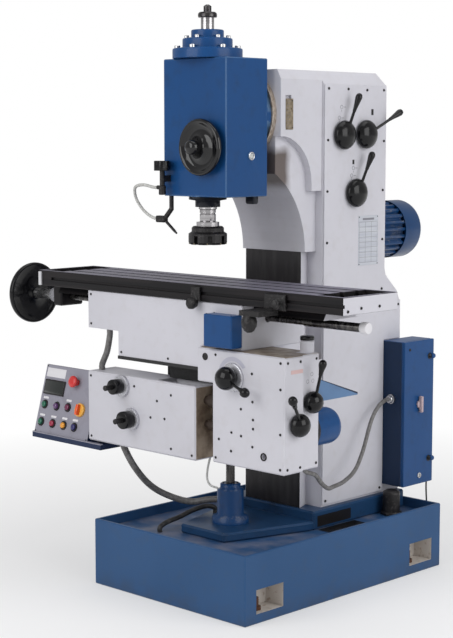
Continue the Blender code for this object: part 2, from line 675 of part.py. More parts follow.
def make_quill_wheel():
    centre = (QUILL_WHEEL_X, HEAD_FRONT_Y - 0.012 - GAP, QUILL_WHEEL_Z)
    turn = pivot_at("quill_wheel_pivot", centre, HEAD)
    outer = QUILL_WHEEL_RADIUS
    wheel = turned([(0.010, 0.082), (0.020, 0.079), (0.027, 0.068), (0.032, 0.026), (outer - 0.036, 0.012),
                    (outer - 0.022, 0.022), (outer - 0.010, 0.030), (outer - 0.002, 0.026), (outer, 0.018),
                    (outer - 0.006, 0.008), (outer - 0.022, 0.004), (0.034, 0.0)], centre, (0, -1, 0), 36)
    finish(wheel, "quill_wheel", BLACK, turn)


def make_coolant():
    spot = Vector((TAP_X, HEAD_FRONT_Y - TAP_KNOB_RADIUS - 0.005, 1.560))
    valve = turned([(0.010, 0.092), (0.010, 0.036), (0.014, 0.034), (0.014, 0.002), (0.011, 0.0)], spot,
                   steps=20)
    bracket = block((spot.x - 0.008, spot.y, spot.z + 0.050), (spot.x + 0.008, HEAD_FRONT_Y - GAP,
                                                               spot.z + 0.074))
    port = rod(spot + Vector((0, 0, 0.028)), spot + Vector((-0.026, 0, 0.028)), 0.008, 12)
    finish(join(valve, bracket, port), "coolant_valve", DARK_IRON, HEAD)
    turn = pivot_at("valve_pivot", spot, HEAD)
    outline = []
    for lobe in range(24):
        radius = TAP_KNOB_RADIUS if lobe % 4 < 2 else TAP_KNOB_RADIUS - 0.003
        angle = math.tau * lobe / 24
        outline.append((spot.x + radius * math.cos(angle), spot.y + radius * math.sin(angle)))
    knob = plate(outline, "plan", spot.z + 0.092 + GAP, spot.z + 0.130)
    finish(chamfer(knob, 0.003), "valve_knob", BLACK, turn)

    join_at = Vector((-0.200, -0.485, 1.463))
    hose("coolant_hose", [spot + Vector((-0.026 - GAP, 0, 0.028)), spot + Vector((-0.050, 0, 0.028)),
                          (-0.246, -0.544, 1.596), (-0.306, -0.530, 1.584), (-0.325, -0.510, 1.545),
                          (-0.312, -0.494, 1.506), (-0.284, -0.486, 1.480), (-0.250, -0.485, 1.466),
                          (join_at.x - 0.028 - GAP, -0.485, 1.466)],
         0.0065, LIGHT_HOSE, HEAD)
    pipe = rod((-0.148, -0.485, 1.500), (-0.148, -0.485, HEAD_LOW_Z - GAP), 0.009, 12)
    elbow = rod((-0.148, -0.485, 1.504), join_at + Vector((0.012, 0, 0.0)), 0.0095, 12)
    block_body = chamfer(block(join_at - Vector((0.028, 0.013, 0.013)),
                               join_at + Vector((0.022, 0.013, 0.013))), 0.004)
    nozzle = turned([(0.0035, 0.088), (0.0055, 0.070), (0.006, 0.0)], join_at + Vector((0.010, 0, 0.0)),
                    (0.80, 0.0, -0.60), 12)
    finish(join(block_body, elbow, pipe, nozzle), "coolant_nozzle", BLACK, HEAD)


# ---------------------------------------------------------------- levers
def make_lever(name, hub, out, tip, hub_radius, hub_depth, carrier, grip_radius=0.014, grip_length=0.075):
    """A domed hub turning about out, with a tapered grip reaching to tip."""
    hub, out, tip = Vector(hub), Vector(out), Vector(tip)
    turn = pivot_at(name + "_pivot", hub, carrier)
    dome = turned([(hub_radius * 0.45, hub_depth), (hub_radius * 0.80, hub_depth * 0.86),
                   (hub_radius, hub_depth * 0.5), (hub_radius, hub_depth * 0.2), (hub_radius * 0.82, 0)],
                  hub, out, 20)
    start = hub + out * hub_depth * 0.45
    reach = (tip - start).length
    grip = turned([(grip_radius * 0.55, reach), (grip_radius * 0.95, reach - 0.004),
                   (grip_radius, reach - 0.016),
                   (grip_radius * 0.55, reach - grip_length), (0.0055, reach - grip_length - 0.004),
                   (0.0065, hub_radius * 0.5)], start, tip - start, 10)
    finish(join(dome, grip), name, BLACK, turn)


def make_speed_levers():
    face = COLUMN_HALF_X + COVER_THICK + GAP
    levers = {
        "speed_lever_front": ((face, 0.108, 1.788), (0.262, 0.155, 1.952)),
        "speed_lever_rear": ((face, 0.244, 1.791), (0.262, 0.424, 1.886)),
        "speed_lever_low": ((face, 0.184, 1.558), (0.262, 0.240, 1.722)),
    }
    for name, (hub, tip) in levers.items():
        make_lever(name, hub, (1, 0, 0), tip, 0.0575, 0.046, None)


# ---------------------------------------------------------------- knee
def way_half(y, clearance=0.0):
    """Half width of the column's dovetail at a place between its root and its face."""
    share = -y / WAY_PROUD
    return WAY_ROOT_HALF_X + (WAY_HALF_X - WAY_ROOT_HALF_X) * share + clearance


def make_knee():
    face = -WAY_PROUD - RUN
    room = 0.001
    outline = [(-KNEE_HALF_X, KNEE_FRONT_Y), (KNEE_HALF_X, KNEE_FRONT_Y), (KNEE_HALF_X, KNEE_BACK_Y),
               (way_half(KNEE_BACK_Y, room), KNEE_BACK_Y), (way_half(face, room), face),
               (-way_half(face, room), face), (-way_half(KNEE_BACK_Y, room), KNEE_BACK_Y),
               (-KNEE_HALF_X, KNEE_BACK_Y)]
    knee = plate(outline, "plan", KNEE_LOW_Z, KNEE_TOP_Z)
    step = block((KNEE_STEP_X, KNEE_FRONT_Y, KNEE_TOP_Z - 0.02), (KNEE_HALF_X, face - 0.010, KNEE_HIGH_TOP_Z))
    guide = block((-GUIDE_HALF_X, -0.385, KNEE_TOP_Z - 0.02), (GUIDE_HALF_X, face - 0.010,
                                                               KNEE_TOP_Z + GUIDE_HEIGHT))
    join(knee, step, guide)
    finish(knee, "knee", WHITE, KNEE)


def make_left_box():
    box = chamfer(block((LEFT_BOX_X[0], BOX_FRONT_Y, LEFT_BOX_Z[0]), (LEFT_BOX_X[1], KNEE_FRONT_Y - GAP,
                                                                      LEFT_BOX_Z[1])), 0.006)
    tray = block((-0.130, -0.578, LEFT_BOX_Z[1] - 0.026), (0.080, -0.478, LEFT_BOX_Z[1] + 0.02))
    cut(box, tray)
    finish(box, "left_box", WHITE, KNEE)


def make_right_box():
    back = KNEE_FRONT_Y - GAP
    side = KNEE_HALF_X + 0.007
    outline = [(RIGHT_BOX_X[0], BOX_FRONT_Y), (RIGHT_BOX_X[1], BOX_FRONT_Y), (RIGHT_BOX_X[1], RIGHT_WING_Y),
               (RIGHT_WING_X, RIGHT_WING_Y), (RIGHT_WING_X, RIGHT_BOX_BACK_Y), (side, RIGHT_BOX_BACK_Y),
               (side, back), (RIGHT_BOX_X[0], back)]
    box = chamfer(plate(outline, "plan", RIGHT_BOX_LOW_Z, KNEE_HIGH_TOP_Z), 0.005)
    # the ear is a hair smaller than the box, so no two of their faces lie in one plane
    ear = chamfer(block((0.106, BOX_FRONT_Y + 0.0006, 0.872),
                        (RIGHT_BOX_X[0] + 0.012, back - 0.0006, KNEE_HIGH_TOP_Z - 0.0006)), 0.005)
    post = turned([(0.022, 1.046), (0.026, 1.042), (0.026, 0.990)], (*OIL_POST, 0), steps=20)
    join(box, ear, post)
    for height, radius in ((0.700, 0.013), (0.790, 0.016)):
        shaft = rod((LEFT_BOX_X[1] + GAP, -0.540, height), (RIGHT_BOX_X[0] + 0.01, -0.540, height), radius)
        collar = rod((0.122, -0.540, height), (0.158, -0.540, height), radius + 0.010, 20)
        join(box, shaft, collar)
    socket = rod((0.449, BOX_FRONT_Y - 0.01, 0.630), (0.449, BOX_FRONT_Y + 0.030, 0.630), 0.010, 20)
    cut(box, socket)
    finish(box, "right_box", WHITE, KNEE)


def make_selector():
    hub = Vector((0.294, BOX_FRONT_Y - GAP, 0.905))
    turn = pivot_at("selector_pivot", hub, KNEE)
    dial = turned([(0.052, 0.008), (0.054, 0.005), (0.054, 0.0)], hub, (0, -1, 0), 32)
    ball = turned([(0.012, 0.074), (0.028, 0.068), (0.039, 0.054), (0.044, 0.038), (0.039, 0.021),
                   (0.030, 0.006)],
                  hub, (0, -1, 0), 22)
    start = hub + Vector((0, -0.038, -0.004))
    tip = Vector((0.428, -0.662, 0.862))
    reach = (tip - start).length
    grip = turned([(0.008, reach), (0.016, reach - 0.006), (0.018, reach - 0.018), (0.012, reach - 0.040),
                   (0.006, reach - 0.050), (0.007, 0.02)], start, tip - start, 12)
    finish(join(dial, ball, grip), "feed_selector", BLACK, turn)


def make_cranks():
    for name, x, z, radius in (("crank_upper", -0.314, 0.806, 0.030), ("crank_lower", -0.257, 0.681, 0.035)):
        hub = Vector((x, BOX_FRONT_Y - GAP, z))
        turn = pivot_at(name + "_pivot", hub, KNEE)
        crank = turned([(0.009, 0.092), (0.011, 0.090), (0.011, 0.056), (radius - 0.004, 0.056),
                        (radius, 0.052),
                        (radius, 0.016), (0.044, 0.013), (0.044, 0.0)], hub, (0, -1, 0), 24)
        finish(crank, name, BLACK, turn)


def make_knee_levers():
    face = RIGHT_BOX_X[1] + GAP
    make_lever("knee_lever_lower", (face, -0.535, 0.752), (1, 0, 0), (0.612, -0.632, 0.870), 0.043, 0.052,
               KNEE, 0.017, 0.055)
    face = RIGHT_WING_X + GAP
    make_lever("knee_lever_upper", (face, -0.448, 0.824), (1, 0, 0), (0.604, -0.452, 0.985), 0.041, 0.052,
               KNEE, 0.015, 0.060)


def make_feed_motor():
    near = RIGHT_BOX_BACK_Y + GAP
    motor = turned([(0.050, 0.172), (0.066, 0.160), (0.070, 0.146), (0.070, 0.020), (0.058, 0.018),
                    (0.058, 0.0)],
                   (0.440, near, 0.700), (0, 1, 0), 28)
    finish(motor, "feed_motor", BLUE, KNEE)
    guard = plate([(near, 0.790), (-0.040, 0.790), (-0.040, 0.800), (near, 0.919)], "side", 0.418, 0.424)
    lip = plate([(near, 0.911), (-0.040, 0.792), (-0.040, 0.800), (near, 0.919)], "side", 0.396, 0.420)
    finish(join(guard, lip), "feed_guard", GUARD_BLUE, KNEE)


# ---------------------------------------------------------------- control panel
def panel_point(x, along, out=0.0):
    """A point on the panel's face: along runs up the face, out stands off it."""
    up = Vector((0, math.sin(PANEL_TILT), math.cos(PANEL_TILT)))
    away = Vector((0, -math.cos(PANEL_TILT), math.sin(PANEL_TILT)))
    return PANEL_LOW + Vector((x, 0, 0)) + up * along + away * out


PANEL_OUT = (0.0, -math.cos(PANEL_TILT), math.sin(PANEL_TILT))
BUTTON_RADIUS = 0.012
BORE_DEPTH = 0.007
STOP_SPOT = (-0.662, 0.244)
STOP_STEM = 0.013
SWITCH_SPOT = (-0.610, 0.134)
BUTTONS = [(-0.838, 0.133, GREEN), (-0.690, 0.136, MAROON), (-0.840, 0.059, GREEN), (-0.766, 0.059, RED),
           (-0.695, 0.060, YELLOW), (-0.628, 0.061, NAVY)]


def make_panel():
    corners = [panel_point(0, 0.012), panel_point(0, PANEL_HEIGHT),
               panel_point(0, PANEL_HEIGHT, -PANEL_THICK),
               panel_point(0, 0.012, -PANEL_THICK)]
    body = plate([(c.y, c.z) for c in corners], "side", *PANEL_X)
    chamfer(body, 0.003)
    shelf = block((PANEL_X[0], -0.606, 0.530), (-0.440, -0.500, 0.5537))
    display = plate([(c.y, c.z) for c in (panel_point(0, 0.180, 0.003), panel_point(0, 0.235, 0.003),
                                          panel_point(0, 0.235, -0.01), panel_point(0, 0.180, -0.01))],
                    "side", -0.855, -0.735)
    lamp = rod(panel_point(-0.761, 0.133, -0.01), panel_point(-0.761, 0.133, 0.010), 0.012)
    lug = block((-0.500, -0.560, 0.545), (-0.460, -0.520, LEFT_BOX_Z[0] - GAP))
    join(body, shelf, display, lamp, lug)
    for x, along, colour in BUTTONS:
        cut(body, rod(panel_point(x, along, -BORE_DEPTH), panel_point(x, along, 0.02), BUTTON_RADIUS + RUN,
                      24))
    cut(body, rod(panel_point(*STOP_SPOT, -BORE_DEPTH), panel_point(*STOP_SPOT, 0.02), STOP_STEM + RUN, 24))
    finish(body, "control_panel", PANEL_GREY, KNEE)
    stop = turned([(0.016, 0.034), (0.0235, 0.030), (0.0245, 0.022), (0.020, 0.016), (STOP_STEM, 0.014),
                   (STOP_STEM, -0.0015)],
                  panel_point(*STOP_SPOT), PANEL_OUT, 24)
    finish(stop, "emergency_stop", RED, pivot_at("stop_pivot", panel_point(*STOP_SPOT), KNEE))
    disc = turned([(0.024, 0.010), (0.026, 0.008), (0.026, 0.0)], panel_point(*SWITCH_SPOT, GAP), PANEL_OUT,
                  24)
    handle = block((-0.0065, -0.022, 0.004), (0.0065, 0.022, 0.026))
    chamfer(handle, 0.003)
    lean = Matrix.Rotation(math.pi / 2 - PANEL_TILT, 4, "X")
    handle.matrix_world = (Matrix.Translation(panel_point(*SWITCH_SPOT)) @ lean @ handle.matrix_world)
    finish(join(disc, handle), "rotary_switch", ORANGE, pivot_at("rotary_pivot", panel_point(*SWITCH_SPOT),
                                                                 KNEE))
    for index, (x, along, colour) in enumerate(BUTTONS, 1):
        name = f"button_{index}"
        button = turned([(BUTTON_RADIUS - 0.002, 0.012), (BUTTON_RADIUS, 0.010), (BUTTON_RADIUS, -0.0015)],
                        panel_point(x, along), PANEL_OUT, 16)
        finish(button, name, colour, pivot_at(name + "_pivot", panel_point(x, along), KNEE))


# ---------------------------------------------------------------- saddle
def make_saddle():
    top = TABLE_LOW_Z - GAP
    step = KNEE_STEP_X - 0.006
    outline = [(SADDLE_X[0], top), (SADDLE_X[0], SADDLE_WING_Z), (APRON_X, SADDLE_WING_Z),
               (APRON_X, APRON_LOW_Z),
               (step, APRON_LOW_Z), (step, KNEE_HIGH_TOP_Z + GAP), (SADDLE_X[1], KNEE_HIGH_TOP_Z + GAP),
               (SADDLE_X[1], top)]
    saddle = chamfer(plate(outline, "front", *SADDLE_Y), 0.003)
    dove = plate([(TABLE_CENTRE_Y - DOVE_HALF_LOW - RUN, DOVE_LOW_Z - RUN),
                  (TABLE_CENTRE_Y + DOVE_HALF_LOW + RUN, DOVE_LOW_Z - RUN),
                  (TABLE_CENTRE_Y + DOVE_HALF_TOP + RUN, top), (TABLE_CENTRE_Y + DOVE_HALF_TOP + RUN,
                                                                top + 0.02),
                  (TABLE_CENTRE_Y - DOVE_HALF_TOP - RUN, top + 0.02),
                  (TABLE_CENTRE_Y - DOVE_HALF_TOP - RUN, top)],
                 "side", SADDLE_X[0] - 0.02, SADDLE_X[1] + 0.02)
    bore = rod((SADDLE_X[0] - 0.02, TABLE_CENTRE_Y, LEAD_Z), (SADDLE_X[1] + 0.02, TABLE_CENTRE_Y, LEAD_Z),
               LEAD_SLEEVE_RADIUS + 0.001, 24)
    groove = block((-GUIDE_HALF_X - RUN, SADDLE_Y[0] + 0.030, APRON_LOW_Z - 0.02),
                   (GUIDE_HALF_X + RUN, SADDLE_Y[1] + 0.02, KNEE_TOP_Z + GUIDE_HEIGHT + 0.001))
    cut(saddle, dove, bore, groove)
    finish(saddle, "saddle", WHITE, SADDLE)
    box = chamfer(block((0.169, -0.630, 1.012), (0.314, SADDLE_Y[0] - GAP, 1.133)), 0.004)
    finish(box, "limit_box", BLUE, SADDLE)


# ---------------------------------------------------------------- table
def make_table():
    front = TABLE_CENTRE_Y - TABLE_HALF_Y
    back = TABLE_CENTRE_Y + TABLE_HALF_Y
    top = chamfer(block((TABLE_X[0], front, TABLE_LOW_Z), (TABLE_X[1], back, TABLE_TOP_Z)), 0.002)
    dove = plate([(TABLE_CENTRE_Y - DOVE_HALF_LOW, DOVE_LOW_Z), (TABLE_CENTRE_Y + DOVE_HALF_LOW, DOVE_LOW_Z),
                  (TABLE_CENTRE_Y + DOVE_HALF_TOP, TABLE_LOW_Z), (TABLE_CENTRE_Y + DOVE_HALF_TOP,
                                                                  TABLE_LOW_Z + 0.004),
                  (TABLE_CENTRE_Y - DOVE_HALF_TOP, TABLE_LOW_Z + 0.004),
                  (TABLE_CENTRE_Y - DOVE_HALF_TOP, TABLE_LOW_Z)],
                 "side", *DOVE_X)
    bracket = chamfer(block((-0.870, TABLE_CENTRE_Y - 0.060, LEAD_Z - 0.036),
                            (-0.815, TABLE_CENTRE_Y + 0.060, 1.200)), 0.006)
    clip = block((TABLE_X[0] + 0.004, front - 0.006, 1.170), (TABLE_X[0] + 0.020, front + 0.004, 1.226))
    join(top, dove, bracket, clip)
    start = TABLE_X[0] + TABLE_RIM
    end = TABLE_X[1] - TABLE_RIM
    for low, high in ((start, start + TROUGH_LENGTH), (end - TROUGH_LENGTH, end)):
        cut(top, block((low, front + TABLE_RIM, TABLE_TOP_Z - TROUGH_DEPTH),
                       (high, back - TABLE_RIM, TABLE_TOP_Z + 0.02)))
    for place in (-SLOT_PITCH, 0.0, SLOT_PITCH):
        middle = TABLE_CENTRE_Y + place
        neck = TABLE_TOP_Z - SLOT_NECK
        deep = TABLE_TOP_Z - SLOT_DEPTH
        tee = plate([(middle - SLOT_HALF, TABLE_TOP_Z + 0.01), (middle - SLOT_HALF, neck),
                     (middle - SLOT_T_HALF, neck),
                     (middle - SLOT_T_HALF, deep), (middle + SLOT_T_HALF, deep), (middle + SLOT_T_HALF, neck),
                     (middle + SLOT_HALF, neck), (middle + SLOT_HALF, TABLE_TOP_Z + 0.01)],
                    "side", start + TROUGH_LENGTH - 0.01, end - TROUGH_LENGTH + 0.01)
        cut(top, tee)
    groove = block((TABLE_X[0] + 0.08, front - 0.02, 1.194), (TABLE_X[1] + 0.02, front + 0.008, 1.206))
    bore = rod((-0.95, TABLE_CENTRE_Y, LEAD_Z), (-0.75, TABLE_CENTRE_Y, LEAD_Z), LEAD_RADIUS + RUN, 24)
    cut(top, groove, bore)
    finish(top, "table", DARK_IRON, TABLE)


def make_table_wheel():
    turn = pivot_at("table_wheel_pivot", (WHEEL_X, TABLE_CENTRE_Y, LEAD_Z), TABLE)
    face = -0.870 - GAP - WHEEL_X
    end = LEAD_END_X - WHEEL_X
    sleeve = LEAD_SLEEVE_X - WHEEL_X
    rim = WHEEL_RADIUS
    screw = turned([(LEAD_SLEEVE_RADIUS, end), (LEAD_SLEEVE_RADIUS, sleeve), (LEAD_RADIUS, sleeve - 0.002),
                    (LEAD_RADIUS, face + GAP)], (WHEEL_X, TABLE_CENTRE_Y, LEAD_Z), (1, 0, 0), 24)
    finish(screw, "lead_screw", DARK_IRON, turn)
    wheel = turned([(0.034, face), (0.038, face - 0.004), (0.038, face - 0.030), (0.030, face - 0.033),
                    (0.030, face - 0.060), (0.022, face - 0.063), (0.022, 0.022), (0.040, 0.010),
                    (rim - 0.022, 0.004),
                    (rim - 0.006, 0.012), (rim, 0.006), (rim, -0.006), (rim - 0.008, -0.012),
                    (rim - 0.022, -0.006),
                    (0.036, -0.006), (0.032, -0.030), (0.010, -0.032)],
                   (WHEEL_X, TABLE_CENTRE_Y, LEAD_Z), (1, 0, 0), 28)
    finish(wheel, "table_wheel", BLACK, turn)


def make_dogs():
    front = TABLE_CENTRE_Y - TABLE_HALF_Y - GAP
    left = block((0.062, front - 0.012, 1.172), (0.108, front, 1.224))
    tongue = block((0.070, front - 0.004, 1.196), (0.100, front + 0.006, 1.204))
    knob = turned([(0.014, 0.036), (0.021, 0.030), (0.0225, 0.018), (0.016, 0.0)],
                  (0.085, front - 0.008, 1.163), (0, -1, 0), 24)
    finish(join(chamfer(left, 0.003), tongue, knob), "trip_dog_left", BLACK,
           pivot_at("dog_left_pivot", (0.085, front, 1.2), TABLE))
    right = block((0.440, front - 0.014, 1.166), (0.540, front, 1.224))
    tongue = block((0.460, front - 0.004, 1.196), (0.520, front + 0.006, 1.204))
    knob = turned([(0.014, 0.034), (0.019, 0.028), (0.020, 0.018), (0.015, 0.0)],
                  (0.510, front - 0.010, 1.190), (0, -1, 0), 24)
    shelf = block((0.405, -0.684, 1.149), (0.500, front - 0.004, 1.168))
    ball = turned([(0.012, 0.064), (0.022, 0.058), (0.0285, 0.040), (0.0275, 0.022), (0.018, 0.006),
                   (0.010, 0.0)],
                  (0.440, -0.668, 1.090), (0, 0, 1), 24)
    finish(join(chamfer(right, 0.003), tongue, knob, shelf, ball), "trip_dog_right", BLACK,
           pivot_at("dog_right_pivot", (0.490, front, 1.2), TABLE))


# ---------------------------------------------------------------- hoses held at both ends
DIP = Vector((0.375, -0.125, 0.432))


def make_hoses():
    gland_end = CABINET_Y[0] - 0.020 - GAP
    hose("conduit_cabinet", [(GLAND[0], gland_end, GLAND[1]), (GLAND[0], gland_end - 0.020, GLAND[1]),
                             (0.262, 0.290, 0.682), (0.275, 0.228, 0.630), (0.295, 0.155, 0.525),
                             (0.315, 0.081, 0.458), (0.343, -0.020, 0.432),
                             DIP + Vector((-0.0015, 0.005, 0.0))],
         0.0085, GREY_HOSE)
    box_end = RIGHT_BOX_LOW_Z - GAP
    hose("conduit_knee", [DIP, (0.400, -0.185, 0.440), (0.432, -0.262, 0.478), (0.458, -0.325, 0.522),
                          (0.476, -0.398, 0.548), (0.476, -0.410, box_end - 0.012), (0.476, -0.410, box_end)],
         0.0085, GREY_HOSE, KNEE)
    box_end = LEFT_BOX_Z[0] - GAP
    nose_end = NOSE_TOP_Z + GAP
    hose("conduit_left", [(-0.420, -0.500, box_end), (-0.420, -0.500, box_end - 0.024),
                          (-0.392, -0.470, 0.455),
                          (-0.378, -0.400, 0.370), (-0.345, -0.330, 0.318), (-0.270, -0.270, 0.292),
                          (-0.195, -0.228, 0.306), (-0.138, -0.192, 0.308),
                          (-0.118, -0.182, nose_end + 0.020),
                          (-0.118, -0.182, nose_end)], 0.014, GREY_HOSE, KNEE)
    hose("saddle_hose", [(-0.443, -0.548, SADDLE_WING_Z - GAP), (-0.443, -0.548, 0.990),
                         (-0.460, -0.548, 0.925),
                         (-0.490, -0.548, 0.870), (-0.490, -0.548, LEFT_BOX_Z[1] + GAP)],
         0.013, GREY_HOSE, SADDLE)
    hose("floor_hose", [(-0.185, -0.520, TRAY_FLOOR_Z + GAP), (-0.185, -0.520, 0.243),
                        (-0.190, -0.480, 0.256),
                        (-0.192, -0.400, 0.266), (-0.180, -0.345, 0.283), (-0.162, -0.295, 0.294),
                        (-0.150, -0.262, 0.290), (-0.146, -0.248, nose_end + 0.016),
                        (-0.146, -0.248, nose_end)],
         0.010, RUBBER)
    hose("pump_cable", [(0.300, 0.572, CABINET_Z[0] - GAP), (0.300, 0.572, 0.300), (0.302, 0.574, 0.220),
                        (0.302, 0.562, 0.165), (0.302, 0.535, 0.142), (0.302, BASE_BACK_Y + GAP, 0.142)],
         0.0035, RUBBER)


make_base()
make_plinth()
make_screw()
make_column()
make_covers()
make_motor()
make_cabinet()
make_pump()
make_ring()
make_head()
make_quill()
make_quill_wheel()
make_coolant()
make_speed_levers()
make_knee()
make_left_box()
make_right_box()
make_selector()
make_cranks()
make_knee_levers()
make_feed_motor()
make_panel()
make_saddle()
make_table()
make_table_wheel()
make_dogs()
make_hoses()
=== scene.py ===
"""A vertical knee-type milling machine: enamelled castings, ground ways, T-slot table and hand controls.

Each section is one piece or one group of like pieces, in the order in which the machine is put together.
Sizes are in metres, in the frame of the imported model; lists of places inside mm() are in millimetres.
"""

import math

import bmesh
import bpy
from mathutils import Matrix, Vector


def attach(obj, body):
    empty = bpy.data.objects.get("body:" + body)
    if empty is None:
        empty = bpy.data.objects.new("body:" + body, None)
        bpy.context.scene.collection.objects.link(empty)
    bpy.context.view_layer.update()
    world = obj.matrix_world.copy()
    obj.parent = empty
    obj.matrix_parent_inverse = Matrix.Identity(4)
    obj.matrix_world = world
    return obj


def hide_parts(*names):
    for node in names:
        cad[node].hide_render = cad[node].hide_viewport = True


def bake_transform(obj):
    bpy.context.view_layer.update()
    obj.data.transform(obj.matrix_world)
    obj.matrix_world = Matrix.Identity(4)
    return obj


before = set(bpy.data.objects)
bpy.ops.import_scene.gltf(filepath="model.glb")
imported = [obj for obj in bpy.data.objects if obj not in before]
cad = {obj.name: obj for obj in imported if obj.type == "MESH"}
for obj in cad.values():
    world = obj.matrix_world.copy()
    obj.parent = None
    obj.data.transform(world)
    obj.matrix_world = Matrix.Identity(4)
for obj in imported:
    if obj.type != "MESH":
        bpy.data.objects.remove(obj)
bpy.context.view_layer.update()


# ---- view
# A long lens from the right front corner, a little above the table.
lens = bpy.data.cameras.new("view")
lens.sensor_fit = "AUTO"
lens.sensor_width = 36.0
lens.lens = 88.14
viewer = bpy.data.objects.new("view", lens)
viewer.location = (4.23, -4.67, 1.7774)
viewer.rotation_euler = (math.radians(83.38), 0.0, math.radians(44.28))
bpy.context.scene.collection.objects.link(viewer)
bpy.context.scene.camera = viewer
bpy.context.scene.view_settings.view_transform = "Standard"


# ---- paint mixing
# Every finish is a few colours, a grain and a wear mask. These two classes let a finish be
# written as plain sums.
def arithmetic(operation, swapped=False):
    """A method of Wire that does one sum with a wire and another wire or number."""
    def method(self, other):
        return self.sum(operation, other, self) if swapped else self.sum(operation, self, other)
    return method


class Wire:
    """A shader value that takes part in plain arithmetic."""

    __add__ = __radd__ = arithmetic("ADD")
    __sub__ = arithmetic("SUBTRACT")
    __rsub__ = arithmetic("SUBTRACT", swapped=True)
    __mul__ = __rmul__ = arithmetic("MULTIPLY")
    __gt__ = arithmetic("GREATER_THAN")
    __lt__ = arithmetic("LESS_THAN")

    def __init__(self, finish, socket):
        self.finish = finish
        self.socket = socket

    def sum(self, operation, first, second=0.0):
        return self.finish.node("ShaderNodeMath", {"operation": operation}, [first, second])

    def absolute(self):
        return self.sum("ABSOLUTE", self)

    def span(self, low, high, start=0.0, end=1.0):
        """Runs from start to end as this goes from low to high, and stays there."""
        return self.finish.node("ShaderNodeMapRange", {"clamp": True}, [self, low, high, start, end])


class Finish:
    """One surface finish, built on the principled shader."""

    def __init__(self, name, colour, roughness=0.4, metallic=0.0, coat=0.0, coat_roughness=0.1, specular=0.5):
        self.material = bpy.data.materials.new(name)
        self.material.use_nodes = True
        self.nodes = self.material.node_tree.nodes
        self.links = self.material.node_tree.links
        self.shader = self.nodes["Principled BSDF"]
        sockets = {"Base Color": (*colour, 1.0), "Roughness": roughness, "Metallic": metallic,
                   "Coat Weight": coat, "Coat Roughness": coat_roughness, "Specular IOR Level": specular}
        for socket, value in sockets.items():
            self.shader.inputs[socket].default_value = value
        self.place = self.node("ShaderNodeTexCoord", {}, {}, "Object")

    def node(self, kind, settings, values, output=0):
        """Adds a node: its settings first, then the values or links of its sockets."""
        made = self.nodes.new(kind)
        for setting, value in settings.items():
            setattr(made, setting, value)
        pairs = values.items() if isinstance(values, dict) else enumerate(values)
        for socket, value in pairs:
            if isinstance(value, Wire):
                self.links.new(value.socket, made.inputs[socket])
            else:
                made.inputs[socket].default_value = value
        return Wire(self, made.outputs[output])

    def feed(self, socket, wire):
        self.links.new(wire.socket, self.shader.inputs[socket])
        return self

    def axes(self, vector=None):
        """A vector's three numbers, or those of the place on the piece."""
        apart = self.node("ShaderNodeSeparateXYZ", {}, [vector or self.place])
        outputs = apart.socket.node.outputs
        return [Wire(self, outputs[i]) for i in range(3)]

    def noise(self, scale, detail=2.0, stretch=(1.0, 1.0, 1.0)):
        where = self.node("ShaderNodeMapping", {}, {"Vector": self.place, "Scale": stretch})
        return self.node("ShaderNodeTexNoise", {}, {"Vector": where, "Scale": scale, "Detail": detail})

    def mix(self, share, first, second):
        """The first colour, with a share of the second."""
        colours = [c if isinstance(c, Wire) else (*c[:3], 1.0) for c in (first, second)]
        return self.node("ShaderNodeMix", {"data_type": "RGBA"}, {0: share, 6: colours[0], 7: colours[1]}, 2)

    def colour(self, share, first, second):
        """Colours the finish with that mix."""
        return self.feed("Base Color", self.mix(share, first, second))

    def rounding(self, radius):
        """The surface direction with its sharp edges eased."""
        return self.node("ShaderNodeBevel", {"samples": 4}, {"Radius": radius})

    def facing(self):
        """The way the face points, without easing."""
        return self.node("ShaderNodeNewGeometry", {}, {}, "True Normal")

    def edge(self, eased):
        """1 on a sharp edge and 0 on a flat."""
        both = [eased, self.facing()]
        close = self.node("ShaderNodeVectorMath", {"operation": "DOT_PRODUCT"}, both, "Value")
        return close.span(0.995, 0.86)

    def bump(self, height, strength, distance=0.001, eased=None):
        values = {"Strength": strength, "Distance": distance, "Height": height}
        if eased is not None:
            values["Normal"] = eased
        return self.feed("Normal", self.node("ShaderNodeBump", {}, values))


def scaled(colour, factor):
    return tuple(c * factor for c in colour)


def enamel(name, colour, roughness, coat, soil, soiling, chips=0.5):
    """Sprayed two-coat machine enamel: faint orange peel, dull handling patches, worn edges."""
    made = Finish(name, colour, roughness, 0.0, coat, 0.12, 0.22)
    cloud = made.noise(2.6, 3.0)
    blotch = made.noise(23.0, 5.0)
    speck = made.noise(150.0, 3.0)
    eased = made.rounding(0.0018)
    shade = made.mix(cloud.span(0.38, 0.68) * 0.45, colour, scaled(colour, 0.84))
    shade = made.mix(blotch.span(0.52, 0.8) * soiling, shade, soil)
    worn = made.edge(eased) * (speck * 0.5 + blotch * 0.6).span(0.56, 0.72) * chips
    shade = made.mix(worn, shade, (0.3, 0.29, 0.28))
    made.feed("Base Color", shade)
    dulled = cloud.span(0.3, 0.7, roughness - 0.05, roughness + 0.1)
    made.feed("Roughness", dulled + worn * 0.25 + blotch * 0.05)
    made.bump(made.noise(330.0, 1.0) * 0.7 + blotch * 0.5, 0.1, 0.0012, eased)
    return made, shade


def grained(name, colour, grain, gloss, tones=None, spread=(0.4, 0.7), share=1.0,
            gloss_spread=(0.3, 0.7), **shine):
    """A finish whose tones and gloss both follow one grain."""
    made = Finish(name, colour, **shine)
    pattern = made.noise(*grain)
    if tones:
        made.colour(pattern.span(*spread, 0.0, share), *tones)
    made.feed("Roughness", pattern.span(*gloss_spread, *gloss))
    return made, pattern


BLUE = (0.0065, 0.06, 0.198)
WHITE = (0.6, 0.595, 0.645)


def blue_coat(name):
    return enamel(name, BLUE, 0.3, 0.1, soil=(0.012, 0.03, 0.07), soiling=0.3)


